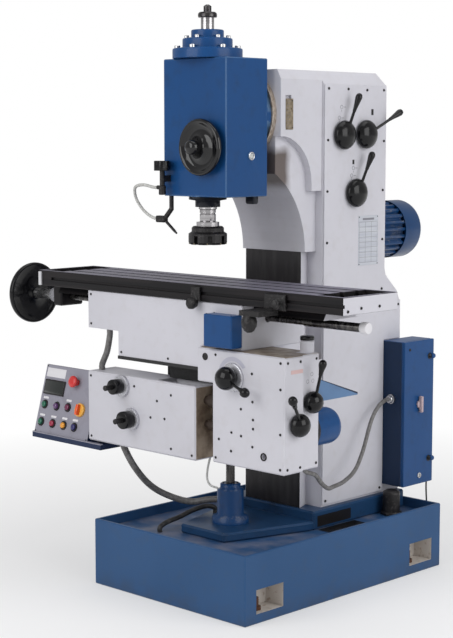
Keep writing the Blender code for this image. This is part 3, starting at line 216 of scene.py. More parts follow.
def white_coat(name):
    return enamel(name, WHITE, 0.38, 0.08, soil=(0.44, 0.41, 0.4), soiling=0.2, chips=0.3)


blue_enamel = blue_coat("blue_enamel")[0]
white_enamel = white_coat("white_enamel")[0]


# ---- shaping
# Turned, drilled and cut stock, and the call that puts a made piece on its carrier.
SIDE = (1, 0, 0)
FRONT = (0, -1, 0)
BEHIND = (0, 1, 0)
UPRIGHT = (0, 0, 1)


def lathe(profile, spot=(0, 0, 0), axis=UPRIGHT, steps=48):
    """Turned stock: (radius, distance along the axis) pairs, from one end round to the other."""
    made = bmesh.new()
    corners = [made.verts.new((radius, 0.0, along)) for radius, along in profile]
    edges = [made.edges.new(pair) for pair in zip(corners, corners[1:])]
    bmesh.ops.spin(made, geom=corners + edges, cent=(0, 0, 0), axis=UPRIGHT, angle=math.tau, steps=steps,
                   use_merge=True)
    bmesh.ops.remove_doubles(made, verts=made.verts, dist=1e-6)
    bmesh.ops.recalc_face_normals(made, faces=made.faces)
    turn = Vector(UPRIGHT).rotation_difference(Vector(axis)).to_matrix().to_4x4()
    bmesh.ops.transform(made, matrix=Matrix.Translation(spot) @ turn, verts=made.verts)
    return made


def mm(*places):
    """Places, or the (radius, distance along the axis) pairs of an outline, written in millimetres."""
    return [tuple(number / 1000 for number in place) for place in places]


def washer(inner, outer, low, high):
    """The outline of a flat ring, for the lathe."""
    return [(inner, low), (outer, low), (outer, high), (inner, high), (inner, low)]


def bar(low, high, round_off=0.0, segments=2):
    """A block between two corners, with its edges rounded off."""
    low, high = Vector(low), Vector(high)
    made = bmesh.new()
    bmesh.ops.create_cube(made, size=1.0)
    bmesh.ops.scale(made, vec=high - low, verts=made.verts)
    bmesh.ops.translate(made, vec=(low + high) / 2, verts=made.verts)
    if round_off:
        bmesh.ops.bevel(made, geom=made.edges[:], offset=round_off, segments=segments, profile=0.5,
                        affect="EDGES", material=-1)
    return made


def moved(made, matrix):
    bmesh.ops.transform(made, matrix=matrix, verts=made.verts)
    return made


def piece(name, body, parts, nodes=(), smooth=38.0):
    """One object from parts that are (stock, finish) pairs, riding on its body if it has one."""
    mesh = bpy.data.meshes.new(name)
    whole = bmesh.new()
    finishes = []
    for stock, finish in parts:
        if finish not in finishes:
            finishes.append(finish)
            mesh.materials.append(finish.material)
        for face in stock.faces:
            face.material_index = finishes.index(finish)
            face.smooth = True
        part = bpy.data.meshes.new("part")
        stock.to_mesh(part)
        whole.from_mesh(part)
        bpy.data.meshes.remove(part)
    whole.to_mesh(mesh)
    whole.free()
    mesh.set_sharp_from_angle(angle=math.radians(smooth))
    made = bpy.data.objects.new(name, mesh)
    bpy.context.scene.collection.objects.link(made)
    if body:
        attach(made, body)
    if nodes:
        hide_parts(*nodes)
    return made


def wear(node, finish):
    """Gives a CAD node its finish."""
    mesh = cad[node].data
    mesh.materials.clear()
    mesh.materials.append(finish.material)


def eased_copy(node, body, finish, smooth=32.0):
    """The node's own shape as one closed skin, so that its round faces shade as round."""
    skin = bmesh.new()
    skin.from_mesh(cad[node].data)
    bmesh.ops.remove_doubles(skin, verts=skin.verts, dist=2e-6)
    made = piece(node + "_skin", body, [(skin, finish)], [node], smooth)
    weigh = made.modifiers.new("flats_first", "WEIGHTED_NORMAL")
    weigh.keep_sharp = True


def ring_of(count, radius, centre, axis):
    """Places set evenly round a circle."""
    centre, axis = Vector(centre), Vector(axis)
    side = axis.orthogonal().normalized()
    return [centre + Matrix.Rotation(math.tau * i / count, 3, axis) @ side * radius for i in range(count)]


def turned_round(count, spot, letter, make):
    """Like pieces, each made from its number and turned evenly round an axis."""
    place = Matrix.Translation(spot)
    return [moved(make(i), place @ Matrix.Rotation(math.tau * i / count, 4, letter)) for i in range(count)]


def cap_screw(spot, axis, radius, proud):
    """A socket screw head, sunk a little into its seat."""
    profile = [(0.0, proud * 0.35), (radius * 0.5, proud * 0.35), (radius * 0.55, proud),
               (radius * 0.86, proud), (radius, proud * 0.75), (radius, -0.0002), (0.0, -0.0002)]
    return lathe(profile, spot, axis, 14)


blackened, rub = grained("blackened_steel", (0.02, 0.019, 0.02), (90.0, 4.0), (0.34, 0.55),
                         ((0.014, 0.013, 0.014), (0.11, 0.1, 0.1)), (0.55, 0.8), 0.7, metallic=0.35)
blackened.bump(rub, 0.12, 0.0006, blackened.rounding(0.001))


def screws(spots, axis, radius=0.0052, proud=0.0032):
    """Blackened socket screws in their seats, as parts of a piece."""
    return [(cap_screw(spot, axis, radius, proud), blackened) for spot in spots]


# ---- drip tray base
# A welded sheet tray on which the whole machine stands. Four pockets in its sides give room for a
# spanner on the levelling bolts, and are left in pale primer with rust on the bolt.
tray_enamel, tray_shade = enamel("base_enamel", (0.026, 0.084, 0.205), 0.38, 0.05, soil=(0.06, 0.08, 0.12),
                                 soiling=0.2, chips=0.6)
across, back, height = tray_enamel.axes()
aside = across.absolute()
along_wall = ((back + 0.528).absolute() < 0.0745) + ((back - 0.386).absolute() < 0.0745)
in_pocket = along_wall * ((height - 0.083).absolute() < 0.0463) * (aside < 0.4152) * (aside > 0.3)
rusting = tray_enamel.noise(46.0, 4.0)
primer = tray_enamel.mix(rusting.span(0.56, 0.72) * 0.8, (0.6, 0.56, 0.52), (0.24, 0.13, 0.07))
inside = (aside < 0.4022) * ((back + 0.071).absolute() < 0.5772)
puddles = tray_enamel.noise(9.0, 5.0).span(0.4, 0.64)
floor_soil = puddles * (height < 0.2262) * (height > 0.22) * inside * 0.6
bolt_across = aside - 0.371
bolt_front = (back + 0.5576).absolute()
bolt_back = (back - 0.3564).absolute()
nearer = bolt_front.sum("MINIMUM", bolt_front, bolt_back)
on_bolt = (bolt_across * bolt_across + nearer * nearer < 0.00043) * (height > 0.0374)
# The tray is made darker, in noisy patches, towards its bottom.
darker_towards_bottom = height.span(0.075, 0.0) * tray_enamel.noise(14.0, 4.0).span(0.35, 0.7) * 0.5
body_shade = tray_enamel.mix(floor_soil, tray_shade, (0.22, 0.22, 0.27))
body_shade = tray_enamel.mix(darker_towards_bottom, body_shade, (0.045, 0.05, 0.062))
primer = tray_enamel.mix(on_bolt, primer, (0.085, 0.035, 0.018))
tray_enamel.colour(in_pocket.span(0.2, 0.8), body_shade, primer)
wear("base_tray", tray_enamel)

# A perforated drain cover lies on the tray floor beside the plinth, over the coolant return.
DRAIN_X = (0.244, 0.38)
DRAIN_Y = (-0.06, 0.16)
DRAIN_Z = 0.2253
frame_bar = bar((DRAIN_X[0], DRAIN_Y[0], DRAIN_Z), (DRAIN_X[1], DRAIN_Y[1], DRAIN_Z + 0.002), 0.0006, 1)
grate = [(frame_bar, blackened)]
for row in range(18):
    y = DRAIN_Y[0] + 0.008 + row * 0.012
    grate.append((bar((DRAIN_X[0] + 0.008, y - 0.0022, DRAIN_Z + 0.0018),
                      (DRAIN_X[1] - 0.008, y + 0.0022, DRAIN_Z + 0.0044), 0.0008, 1), blackened))
piece("drain_grate", "machine", grate)


# ---- plinth and lifting screw
# The plinth is one casting, whose nose runs forward under the knee and carries the sleeve of the
# lifting screw. The screw is cut with a square thread and stands dark with oil.
plinth_enamel, plinth_shade = enamel("plinth_enamel", (0.014, 0.052, 0.13), 0.3, 0.1,
                                     soil=(0.012, 0.02, 0.035), soiling=0.5)
across, back, height = plinth_enamel.axes()
port = ((back - 0.046).absolute() < 0.104) * ((height - 0.258).absolute() < 0.022) * (across > 0.2365)
plinth_enamel.colour(port, plinth_shade, (0.012, 0.011, 0.012))
wear("plinth", plinth_enamel)
oiled = grained("oiled_steel", (0.05, 0.048, 0.05), (60.0, 3.0, (1.0, 1.0, 0.25)), (0.18, 0.36),
                ((0.035, 0.033, 0.036), (0.12, 0.115, 0.11)), metallic=0.85)[0]
PITCH = 0.006
THREAD_TOP = 0.5995
THREAD_FOOT = 0.276
CREST = 0.0179
ROOT = 0.0157
SCREW_Y = -0.31
thread = [(0.0, THREAD_TOP)]
for turn in range(int((THREAD_TOP - THREAD_FOOT) / PITCH)):
    top = THREAD_TOP - turn * PITCH
    thread += [(CREST, top), (CREST, top - 0.0026), (ROOT, top - 0.0032), (ROOT, top - 0.0054)]
thread += [(ROOT, 0.2752), (0.0, 0.2752)]
piece("lifting_thread", "knee", [(lathe(thread, (0, SCREW_Y, 0), steps=32), oiled)], ["elevating_screw"],
      25.0)
sleeve_enamel = enamel("sleeve_enamel", (0.0055, 0.046, 0.15), 0.3, 0.1, soil=(0.01, 0.02, 0.045),
                       soiling=0.5, chips=0.25)[0]
eased_copy("screw_sleeve", "machine", sleeve_enamel)
piece("sleeve_bolts", "machine",
      screws(ring_of(6, 0.0272, (0, SCREW_Y, 0.42), UPRIGHT), UPRIGHT, 0.0036, 0.003))


# ---- column
# A ribbed box casting, filled, rubbed down and sprayed off-white. Its dovetail ways are bare,
# ground and oiled, so they look nearly black. Two pressed covers close its right side.
column_enamel, column_shade = white_coat("column_enamel")
across, back, height = column_enamel.axes()
# Painted shadow: the throat under the arm is painted dark brown, with a noisy edge, as the shade of the arm's
# overhang.
shadow_edge_noise = column_enamel.noise(16.0, 3.0) * 0.03
arm_painted_shadow = ((across.absolute() < 0.172) * (back + shadow_edge_noise).span(-0.13, -0.165)
             * (height + shadow_edge_noise).span(1.56, 1.625) * (height - shadow_edge_noise).span(1.735, 1.7))
column_enamel.colour(arm_painted_shadow * 0.9, column_shade, (0.085, 0.06, 0.048))
wear("column", column_enamel)
ways_iron = Finish("ways_iron", (0.02, 0.018, 0.018), 0.3, 0.45)
stroke = ways_iron.noise(26.0, 3.0, (1.6, 1.6, 0.3))
wipe = ways_iron.noise(4.0, 3.0, (1.0, 1.0, 0.35))
way_shade = ways_iron.mix(stroke.span(0.4, 0.75) * 0.5, (0.024, 0.022, 0.024), (0.064, 0.06, 0.062))
ways_iron.feed("Roughness", wipe.span(0.3, 0.7, 0.22, 0.42))
ways_iron.bump(stroke, 0.04, 0.0006, ways_iron.rounding(0.0015))
across, back, height = ways_iron.axes()
flank = (across.absolute() > 0.1492) + (back > -0.0642)
ways_iron.colour(flank.span(0.2, 0.8), way_shade, scaled(WHITE, 0.92))
ways_iron.feed("Metallic", flank.span(0.2, 0.8, 0.35, 0.0))
wear("column_ways", ways_iron)
for cover in ("upper_cover", "lower_cover"):
    wear(cover, white_enamel)

COLUMN_SIDE = 0.2113
COVER_FACE = 0.2112
MARK = (0.211, 0.2114)
PRINT = (0.2119, 0.2122)
UPPER_SCREWS = mm((24, 1969), (143, 1969), (260, 1967), (367, 1969), (21, 1768), (370, 1764), (19, 1567),
                  (366, 1565), (19, 1364), (366, 1364), (134, 1160), (249, 1160), (366, 1160))
LOWER_SCREWS = mm((235, 1087), (357, 1087), (478, 1087), (20, 324), (366, 324), (20, 700), (20, 1087))
piece("cover_screws", "machine", screws([(COVER_FACE, y, z) for y, z in UPPER_SCREWS + LOWER_SCREWS], SIDE))

# The swivel's angle is read through a small window on the side of the arm.
brass_plate = grained("window_plate", (0.24, 0.19, 0.13), (70.0, 3.0), (0.25, 0.45),
                      ((0.2, 0.16, 0.11), (0.34, 0.28, 0.2)), metallic=0.6)[0]
ink = grained("printed_grey", (0.2, 0.2, 0.23), (80.0, 2.0), (0.42, 0.58))[0]
window = [(bar((0.1978, -0.212, 1.808), (0.1996, -0.17, 1.926), 0.0007, 1), brass_plate)]
for mark in range(9):
    z = 1.818 + mark * 0.0123
    reach = 0.022 if mark % 4 == 0 else 0.013
    window.append((bar((0.1995, -0.206, z - 0.0006), (0.1998, -0.206 + reach, z + 0.0006)), ink))
window += screws([(0.1994, -0.176, z) for z in (1.816, 1.918)], SIDE, 0.0028, 0.0012)
piece("swivel_window", "machine", window)

# A blank plate with a plain ruled grid sits under the levers, and plain marks stand beside them.
plate_metal = grained("plate_metal", (0.5, 0.52, 0.58), (40.0, 3.0, (1.0, 0.2, 4.0)), (0.32, 0.48),
                      ((0.47, 0.49, 0.56), (0.58, 0.6, 0.64)), (0.35, 0.7), metallic=0.3)[0]
grid = [(bar((0.2108, 0.213, 1.263), (0.212, 0.339, 1.464), 0.0004, 1), plate_metal)]
for line in range(9):
    z = 1.275 + line * 0.0205
    grid.append((bar((PRINT[0], 0.219, z - 0.0006), (PRINT[1], 0.333, z + 0.0006)), ink))
for line in range(4):
    y = 0.219 + line * 0.038
    grid.append((bar((PRINT[0], y - 0.0005, 1.275), (PRINT[1], y + 0.0005, 1.439)), ink))
grid += screws([(0.2118, y, z) for y in (0.218, 0.334) for z in (1.268, 1.459)], SIDE, 0.0025, 0.001)
grid.append((bar((PRINT[0], 0.24, 1.446), (PRINT[1], 0.312, 1.4545)), ink))
piece("speed_plate", "machine", grid)
marks = []
for y, z in ((0.103, 1.898), (0.089, 1.855), (0.178, 1.657), (0.168, 1.627)):
    marks.append((lathe(washer(0.0065, 0.0082, 0.0, 0.0004), (MARK[0], y, z), SIDE, 20), ink))
    marks.append((bar((MARK[0], y + 0.012, z - 0.001), (MARK[1], y + 0.026, z + 0.001)), ink))
    marks.append((bar((MARK[0], y - 0.001, z - 0.018), (MARK[1], y + 0.001, z - 0.011)), ink))
marks.append((bar((MARK[0], 0.288, 1.868), (MARK[1], 0.302, 1.892), 0.0001, 1), blackened))
marks.append((bar((MARK[0], 0.172, 1.672), (MARK[1], 0.184, 1.69), 0.0001, 1), blackened))
piece("lever_marks", "machine", marks)


# ---- main motor
# A finned flange motor hangs on the column's back, with a pressed fan cowl over its far end.
motor_enamel = enamel("motor_enamel", (0.0055, 0.044, 0.14), 0.3, 0.15, soil=(0.01, 0.02, 0.045),
                      soiling=0.4)[0]
eased_copy("main_motor", "machine", motor_enamel, 30.0)
COWL_SPOT = (0.0, 0.757, 1.385)
cowl = mm((0, 0), (100, 0), (112, -3), (120, -10), (123.5, -20), (123.5, -116.6), (121, -116.6), (121, -100),
          (0, -100))
VENT_SPOT = (0.0, 0.7568, 1.385)
cowl_parts = [(lathe(cowl, COWL_SPOT, BEHIND, 64), motor_enamel)]
cowl_parts += [(lathe(washer(radius, radius + 0.008, -0.0006, 0.0), VENT_SPOT, BEHIND, 48), blackened)
               for radius in (0.026, 0.044, 0.062, 0.08)]
cowl_parts += screws(ring_of(4, 0.1, VENT_SPOT, BEHIND), BEHIND, 0.004, -0.0001)
piece("cowl_shell", "machine", cowl_parts, ["fan_cowl"])


# ---- electrics cabinet
# A folded steel box on the column's right flank, with a hinged door, two quarter-turn locks, a
# main switch and a plated cable gland.
box_enamel, box_shade = blue_coat("cabinet_enamel")
across, back, height = box_enamel.axes()
# The cabinet's side facing the front is painted darker, as painted shade.
box_enamel.colour((back < 0.3885) * 0.75, box_shade, (0.006, 0.012, 0.026))
wear("cabinet", box_enamel)
wear("cabinet_door", blue_enamel)
plated = grained("plated_steel", (0.55, 0.55, 0.56), (120.0, 3.0), (0.18, 0.34), metallic=1.0)[0]
gland = mm((0, 23.5), (9.5, 23.5), (15, 21.5), (16.5, 18), (16.5, 10.5), (20, 9.5), (20, 0.4), (0, 0.4))
piece("gland_nut", "machine", [(lathe(gland, (0.256, 0.3868, 0.702), FRONT, 12), plated)])
lock = mm((0, 5.2), (5, 5.2), (5.8, 4), (10.5, 3.6), (12, 2), (12, -0.2), (0, -0.2))
DOOR_FACE = 0.3207
hinge_knob = mm((0, 10), (6, 10), (7.8, 8), (8.5, 2), (13, 1), (13, -0.2), (0, -0.2))
door_parts = screws([(0.3206, 0.421, 0.909)], SIDE, 0.0062, 0.0022)
door_parts += [(lathe(lock, (DOOR_FACE, 0.494, 0.373), SIDE, 28), plated),
               (bar((0.3256, 0.492, 0.366), (0.3266, 0.496, 0.38), 0.0004, 1), blackened)]
door_parts += [(lathe(hinge_knob, (DOOR_FACE, 0.5555, z), SIDE, 24), blackened) for z in (0.872, 0.438)]
piece("door_fittings", "door", door_parts)
handle_face = grained("handle_rose", (0.47, 0.36, 0.38), (60.0, 3.0), (0.3, 0.46))[0]
eased_copy("isolator_switch", "isolator", handle_face)


# ---- coolant pump
# A small upright pump beside the cabinet, dipping into the tray.
eased_copy("coolant_pump", "machine", blackened)


# ---- swivelling head
# The head casting turns on a machined ring. Its cover is bolted down with a stepped cap, and
# the quill's drawbar comes out of the top.
machined = grained("machined_ring", (0.52, 0.44, 0.35), (300.0, 2.0, (0.2, 1.0, 0.2)), (0.26, 0.44),
                   ((0.46, 0.37, 0.28), (0.66, 0.58, 0.5)), (0.4, 0.65), metallic=0.75)[0]
eased_copy("swivel_ring", "machine", machined)
head_enamel, head_shade = blue_coat("head_enamel")
across, back, height = head_enamel.axes()
# A paler blue is painted along the head's sharp edges as a painted highlight.
painted_edge_highlight = head_enamel.edge(head_enamel.rounding(0.004)) * 0.7
head_shade = head_enamel.mix(painted_edge_highlight, head_shade, (0.1, 0.21, 0.38))
head_enamel.colour(height < 1.5545, head_shade, (0.01, 0.012, 0.018))
eased_copy("head_body", "head", head_enamel, 28.0)
CAP_STEPS = ((0.133, 2.0753, 2.112), (0.095, 2.112, 2.15), (0.062, 2.15, 2.182))
profile = [(0.0375, 2.182)]
for radius, foot, top in reversed(CAP_STEPS):
    profile += [(radius - 0.005, top), (radius - 0.0015, top - 0.0015), (radius, top - 0.005),
                (radius, foot + 0.004)]
profile += mm((133, 2075.3), (37.5, 2075.3), (37.5, 2182))
SPINDLE = Vector((0, -0.435, 0))
cap_parts = [(lathe(profile, SPINDLE, steps=72), blue_enamel)]
for radius, size, level in ((0.114, 0.011, 2.1118), (0.0785, 0.0085, 2.1498)):
    head_profile = [(0.0, 0.006), (size * 0.5, 0.006), (size * 0.55, 0.0115), (size * 0.88, 0.0115),
                    (size, 0.01), (size, 0.0), (0.0, 0.0)]
    cap_parts += [(lathe(head_profile, spot, UPRIGHT, 16), plated)
                  for spot in ring_of(6, radius, SPINDLE + Vector((0, 0, level)), UPRIGHT)]
piece("cap_shell", "head", cap_parts, ["head_cap"])

# A round sight glass shows the oil level in the head's gearbox.
glass = grained("sight_glass", (0.5, 0.52, 0.5), (70.0, 2.0), (0.05, 0.12), coat=0.8, coat_roughness=0.03)[0]
SIGHT = (0.168, -0.373, 1.709)
rim_ring = mm((15.5, 0), (15.5, 5.8), (13.5, 6.8), (11.2, 5.5), (11.2, 0))
bull_eye = mm((0, 5), (6, 4.8), (11.2, 3.8), (11.2, 0))
piece("sight_rim", "head",
      [(lathe(rim_ring, SIGHT, SIDE, 32), plated), (lathe(bull_eye, SIGHT, SIDE, 32), glass)])

# Quill and spindle are ground steel; the drawbar nut and the tip stand above the cap.
steel = grained("ground_steel", (0.42, 0.41, 0.42), (180.0, 2.0, (0.02, 0.02, 1.0)), (0.12, 0.22),
                ((0.34, 0.33, 0.34), (0.5, 0.49, 0.5)), metallic=1.0)[0]
eased_copy("quill", "quill", steel)
tip = mm((0, 2276), (6, 2276), (8, 2274.5), (15, 2270), (15, 2250), (22, 2248), (30, 2248), (34.5, 2244),
         (36, 2240), (36, 2230), (34, 2227.5), (25, 2226.2), (0, 2226.2))
shaft = mm((0, 2226.2), (25, 2226.2), (25, 2162.2), (22.5, 2160), (22.5, 1504.7), (31, 1504.7), (31, 1493),
           (29, 1491.5), (29, 1488), (31, 1486.5), (31, 1461.2), (30, 1459), (44, 1457), (44, 1441.3),
           (0, 1441.3))
piece("spindle_shaft", "spindle",
      [(lathe(tip, SPINDLE, steps=48), oiled), (lathe(shaft, SPINDLE, steps=48), steel)],
      ["spindle"])
wear("face_mill", blackened)
carbide = grained("carbide", (0.34, 0.29, 0.2), (90.0, 2.0), (0.24, 0.4), metallic=0.7)[0]
MILL_FACE = SPINDLE + Vector((0, 0, 1.372))


def insert(flute):
    return bar((0.06, -0.0036, 0.0004), (0.0728, -0.0004, 0.015), 0.0006, 1)


piece("mill_inserts", "spindle", [(stock, carbide) for stock in turned_round(8, MILL_FACE, "Z", insert)])


# ---- hand controls
# Handwheels, levers and knobs are moulded in glossy black phenolic on steel stems. They carry
# finger dust and soft bright highlights.
phenolic = grained("black_phenolic", (0.004, 0.004, 0.005), (55.0, 5.0), (0.11, 0.3),
                   ((0.0035, 0.0035, 0.0045), (0.016, 0.015, 0.014)), (0.55, 0.85), 0.5, (0.35, 0.75),
                   coat=0.08, coat_roughness=0.05, specular=0.26)[0]
phenolic.bump(phenolic.noise(120.0, 2.0), 0.04, 0.0006)

QUILL_WHEEL = (0.062, -0.5193, 1.742)
dish = mm((0, 82), (10, 81.8), (18, 80), (24, 76), (27.5, 69), (29, 59), (30, 42), (34, 28), (44, 19),
          (58, 14), (72, 13), (82, 17), (89, 24), (95, 29), (100.5, 30), (105, 26.5), (107, 20), (106, 13),
          (101, 8), (86, 4), (34, 0), (0, 0))
polished = grained("polished_phenolic", (0.003, 0.003, 0.004), (55.0, 4.0), (0.07, 0.2),
                   gloss_spread=(0.35, 0.75), coat=0.25, coat_roughness=0.04, specular=0.36)[0]
piece("quill_handwheel", "quill_wheel", [(lathe(dish, QUILL_WHEEL, FRONT, 72), polished)], ["quill_wheel"],
      50.0)


def grip(start, tip, knob, length):
    """A steel stem with a pear-shaped grip moulded on its end, from its start to its tip."""
    stem = 0.0058
    start, tip = Vector(start), Vector(tip)
    reach = (tip - start).length
    shape = [(0.0, reach), (knob * 0.42, reach - knob * 0.1), (knob * 0.8, reach - knob * 0.42),
             (knob, reach - knob), (knob * 0.97, reach - knob * 1.5), (knob * 0.74, reach - length * 0.58),
             (knob * 0.54, reach - length * 0.85), (knob * 0.5, reach - length),
             (stem, reach - length - 0.002), (stem, 0.01), (0.0, 0.01)]
    return lathe(shape, start, tip - start, 24)


def hub(spot, out, radius, depth):
    """The domed boss on which a lever turns."""
    dome = [(0, 1), (0.25, 0.985), (0.5, 0.92), (0.72, 0.8), (0.9, 0.62), (0.99, 0.42), (1, 0.26),
            (0.94, 0.1),
            (0.8, 0), (0, 0)]
    return lathe([(radius * across, depth * along) for across, along in dome], spot, out, 40)


def lever(name, spot, tip, radius, depth, knob, length):
    """A lever on a right-hand face: its boss at the spot and its grip's end at the tip."""
    start = Vector(spot) + Vector(SIDE) * depth * 0.45
    parts = [(hub(spot, SIDE, radius, depth), phenolic), (grip(start, tip, knob, length), phenolic)]
    piece(name + "_arm", name, parts, [name], 50.0)


SPEED_LEVER = (0.0575, 0.046, 0.014, 0.075)
LEVERS = {
    "speed_lever_front": ((COLUMN_SIDE, 0.108, 1.788), (0.262, 0.155, 1.952), *SPEED_LEVER),
    "speed_lever_rear": ((COLUMN_SIDE, 0.244, 1.791), (0.262, 0.424, 1.886), *SPEED_LEVER),
    "speed_lever_low": ((COLUMN_SIDE, 0.184, 1.558), (0.262, 0.24, 1.722), *SPEED_LEVER),
    "knee_lever_lower": ((0.5493, -0.535, 0.752), (0.612, -0.632, 0.87), 0.043, 0.052, 0.017, 0.055),
    "knee_lever_upper": ((0.5353, -0.448, 0.824), (0.604, -0.452, 0.985), 0.041, 0.052, 0.015, 0.06),
}
for name, (spot, tip, radius, depth, knob, length) in LEVERS.items():
    lever(name, spot, tip, radius, depth, knob, length)

# The feed selector is a ball on a plated dial ring, with a stub grip to its lower right.
SELECTOR = Vector((0.294, -0.6003, 0.905))
BALL_SIDE = SELECTOR + Vector((0, -0.038, -0.004))
dial_ring = mm((0, 7.8), (49, 8), (52.5, 7), (54, 5), (54, 0), (0, 0))
ball = mm((0, 74), (14, 72.2), (27, 67), (37, 58), (42.5, 47), (44, 38), (42.5, 28), (37, 18), (30, 7),
          (0, 7))
silver = grained("satin_dial", (0.52, 0.52, 0.56), (110.0, 3.0), (0.24, 0.4), metallic=0.6)[0]
selector_parts = [(lathe(dial_ring, SELECTOR, FRONT, 48), silver),
                  (lathe(ball, SELECTOR, FRONT, 48), phenolic),
                  (grip(BALL_SIDE, (0.428, -0.662, 0.862), 0.018, 0.046), phenolic)]
piece("selector_ball", "feed_selector", selector_parts, ["feed_selector"], 50.0)


# Two crank stubs, each with a graduated collar: squared steel end, fluted knob and satin dial.
def crank_tick(notch):
    return bar((0.0352, -0.0127, -0.0003), (0.0385 if notch % 3 else 0.0412, -0.0124, 0.0003))


for name, x, z, radius in (("crank_upper", -0.314, 0.806, 0.03), ("crank_lower", -0.257, 0.681, 0.035)):
    spot = Vector((x, -0.6003, z))
    collar = mm((0, 12.5), (40, 12.5), (43, 11.5), (44, 9.5), (44, 0), (0, 0))
    knob = [(0.0, 0.056), (radius - 0.005, 0.056), (radius - 0.0015, 0.0545), (radius, 0.051),
            (radius, 0.019), (radius - 0.002, 0.016), (radius - 0.003, 0.0125), (0.0, 0.0125)]
    stub = mm((0, 92), (9.5, 92), (11, 90.5), (11, 56), (0, 56))
    crank = [(lathe(collar, spot, FRONT, 60), silver), (lathe(knob, spot, FRONT, 48), phenolic),
             (lathe(stub, spot, FRONT, 8), blackened)]
    crank += [(tick, ink) for tick in turned_round(36, spot, "Y", crank_tick)]
    piece(name + "_dial", name, crank, [name])


# ---- knee and feed boxes
# The knee casting is bare and oily on top, where the saddle slides, and painted elsewhere.
# Two box castings are bolted on its front; every plate screw is set in a counterbore.
knee_enamel, knee_shade = white_coat("knee_enamel")
across, back, height = knee_enamel.axes()
upward = knee_enamel.axes(knee_enamel.facing())[2] > 0.9
oily = knee_enamel.noise(30.0, 3.0, (2.5, 0.2, 1.0))
bare_top = knee_enamel.mix(oily.span(0.35, 0.7), (0.15, 0.115, 0.08), (0.33, 0.27, 0.2))
# The knee's front face, seen in the gap between the boxes, takes the oily brown as painted shade, and just
# under the apron it is painted near-black as painted shadow.
painted_gap_shade = (back < -0.4495) * 1.0
knee_colour = knee_enamel.mix((upward + painted_gap_shade).span(0.2, 0.8), knee_shade, bare_top)
painted_apron_shadow = painted_gap_shade * (height > 0.84) * (across < 0.103)
knee_enamel.colour(painted_apron_shadow, knee_colour, (0.01, 0.01, 0.011))
wear("knee", knee_enamel)

# The left box's end by the gap is oily brown: partly bare metal, partly painted shade of the gap.
# The right box's top is bare and oily; its shafts and gap face are dark: oily steel and painted shade.
left_enamel, left_shade = white_coat("left_box_enamel")
across, back, height = left_enamel.axes()
smear = left_enamel.noise(18.0, 4.0)
bare_end_and_gap_shade = left_enamel.mix(smear.span(0.35, 0.65), (0.16, 0.115, 0.08), (0.36, 0.29, 0.22))
left_enamel.colour(across > 0.0962, left_shade, bare_end_and_gap_shade)
wear("left_box", left_enamel)
right_enamel, right_shade = white_coat("right_box_enamel")
across, back, height = right_enamel.axes()
smear = right_enamel.noise(18.0, 4.0)
oily_top = right_enamel.mix(smear.span(0.35, 0.65), (0.17, 0.125, 0.09), (0.4, 0.33, 0.26))
post_spot = ((across - 0.5).absolute() < 0.03) * ((back + 0.424).absolute() < 0.03)
bare_top = (height > 0.9985) * (1 - post_spot) * (back > -0.592)
# The shafts and the box's face in the gap share one dark colour, partly painted shade.
shafts_and_gap_shade = (across < 0.1852) * (height < 0.868)
shade = right_enamel.mix(bare_top, right_shade, oily_top)
right_enamel.colour(shafts_and_gap_shade, shade, (0.04, 0.028, 0.022))
wear("right_box", right_enamel)

BOX_FRONT = -0.5999
RIGHT_SPOTS = mm((390, 928), (530, 980), (530, 885), (393, 825), (335, 792), (396, 759), (396, 726),
                 (336, 692), (287, 699), (222, 666), (285, 629), (393, 659), (530, 722), (530, 594),
                 (205, 594), (205, 980))
LEFT_SPOTS = mm((-243, 812), (-35, 800), (-113, 769), (-150, 700), (-71, 704), (-36, 592), (-500, 828),
                (-500, 582), (78, 582))
FRONT_SPOTS = [(x, BOX_FRONT, z) for x, z in RIGHT_SPOTS + LEFT_SPOTS]
FLANK_ROWS = ((0.5489, -0.515), (0.5489, -0.583), (0.5349, -0.412))
FLANK_SPOTS = [(x, y, z) for x, y in FLANK_ROWS for z in (0.98, 0.594)]
piece("box_screws", "knee",
      screws(FRONT_SPOTS, FRONT, 0.005, 0.0024) + screws(FLANK_SPOTS, SIDE, 0.005, 0.0024))

# Small fittings on the boxes: a rubber mat in the left box's tray, folded bellows over the ways
# behind it, a plugged bore on the ear, the oil filler cap, a blank name plate and selector marks.
rubber, weave = grained("rubber_mat", (0.012, 0.012, 0.013), (300.0, 2.0), (0.52, 0.74))
rubber.bump(weave, 0.2, 0.0006)
piece("tray_mat", "knee", [(bar((-0.1285, -0.5765, 0.8212), (0.0785, -0.4795, 0.8242), 0.001, 1), rubber)])
folds = []
for fold in range(6):
    y = -0.502 + fold * 0.0084
    inset = 0.006 if fold % 2 else 0.0
    leaf = bar((-0.145 + inset, y, 0.8475), (0.085 - inset, y + 0.0082, 0.8965 - inset), 0.001, 1)
    folds.append((leaf, rubber))
piece("way_bellows", "knee", folds)
plug = mm((0, 1.2), (10, 1.2), (11.2, 3), (13, 3), (13.8, 1.8), (13.8, -0.4), (0, -0.4))
piece("ear_plug", "knee", [(lathe(plug, (0.15, -0.5994, 0.968), FRONT, 28), blackened)])
filler = mm((0, 1062), (19, 1062), (24, 1060.5), (26.2, 1057), (26.2, 1048), (25, 1046.2), (0, 1046.2))
piece("filler_cap", "knee", [(lathe(filler, (0.5, -0.424, 0), steps=28), phenolic)])
socket_rim = mm((10.1, 0.2), (15, 0.2), (15, 2.2), (13.8, 3.2), (11.2, 3.2), (10.1, 2.2), (10.1, 0.2))
piece("socket_rim", "knee", [(lathe(socket_rim, (0.449, -0.6, 0.63), FRONT, 32), blackened)])
rose_plate = grained("rose_plate", (0.62, 0.43, 0.42), (80.0, 2.0), (0.34, 0.5))[0]
fittings = [(bar((0.5486, -0.566, 0.938), (0.55, -0.502, 0.952), 0.0003, 1), rose_plate)]
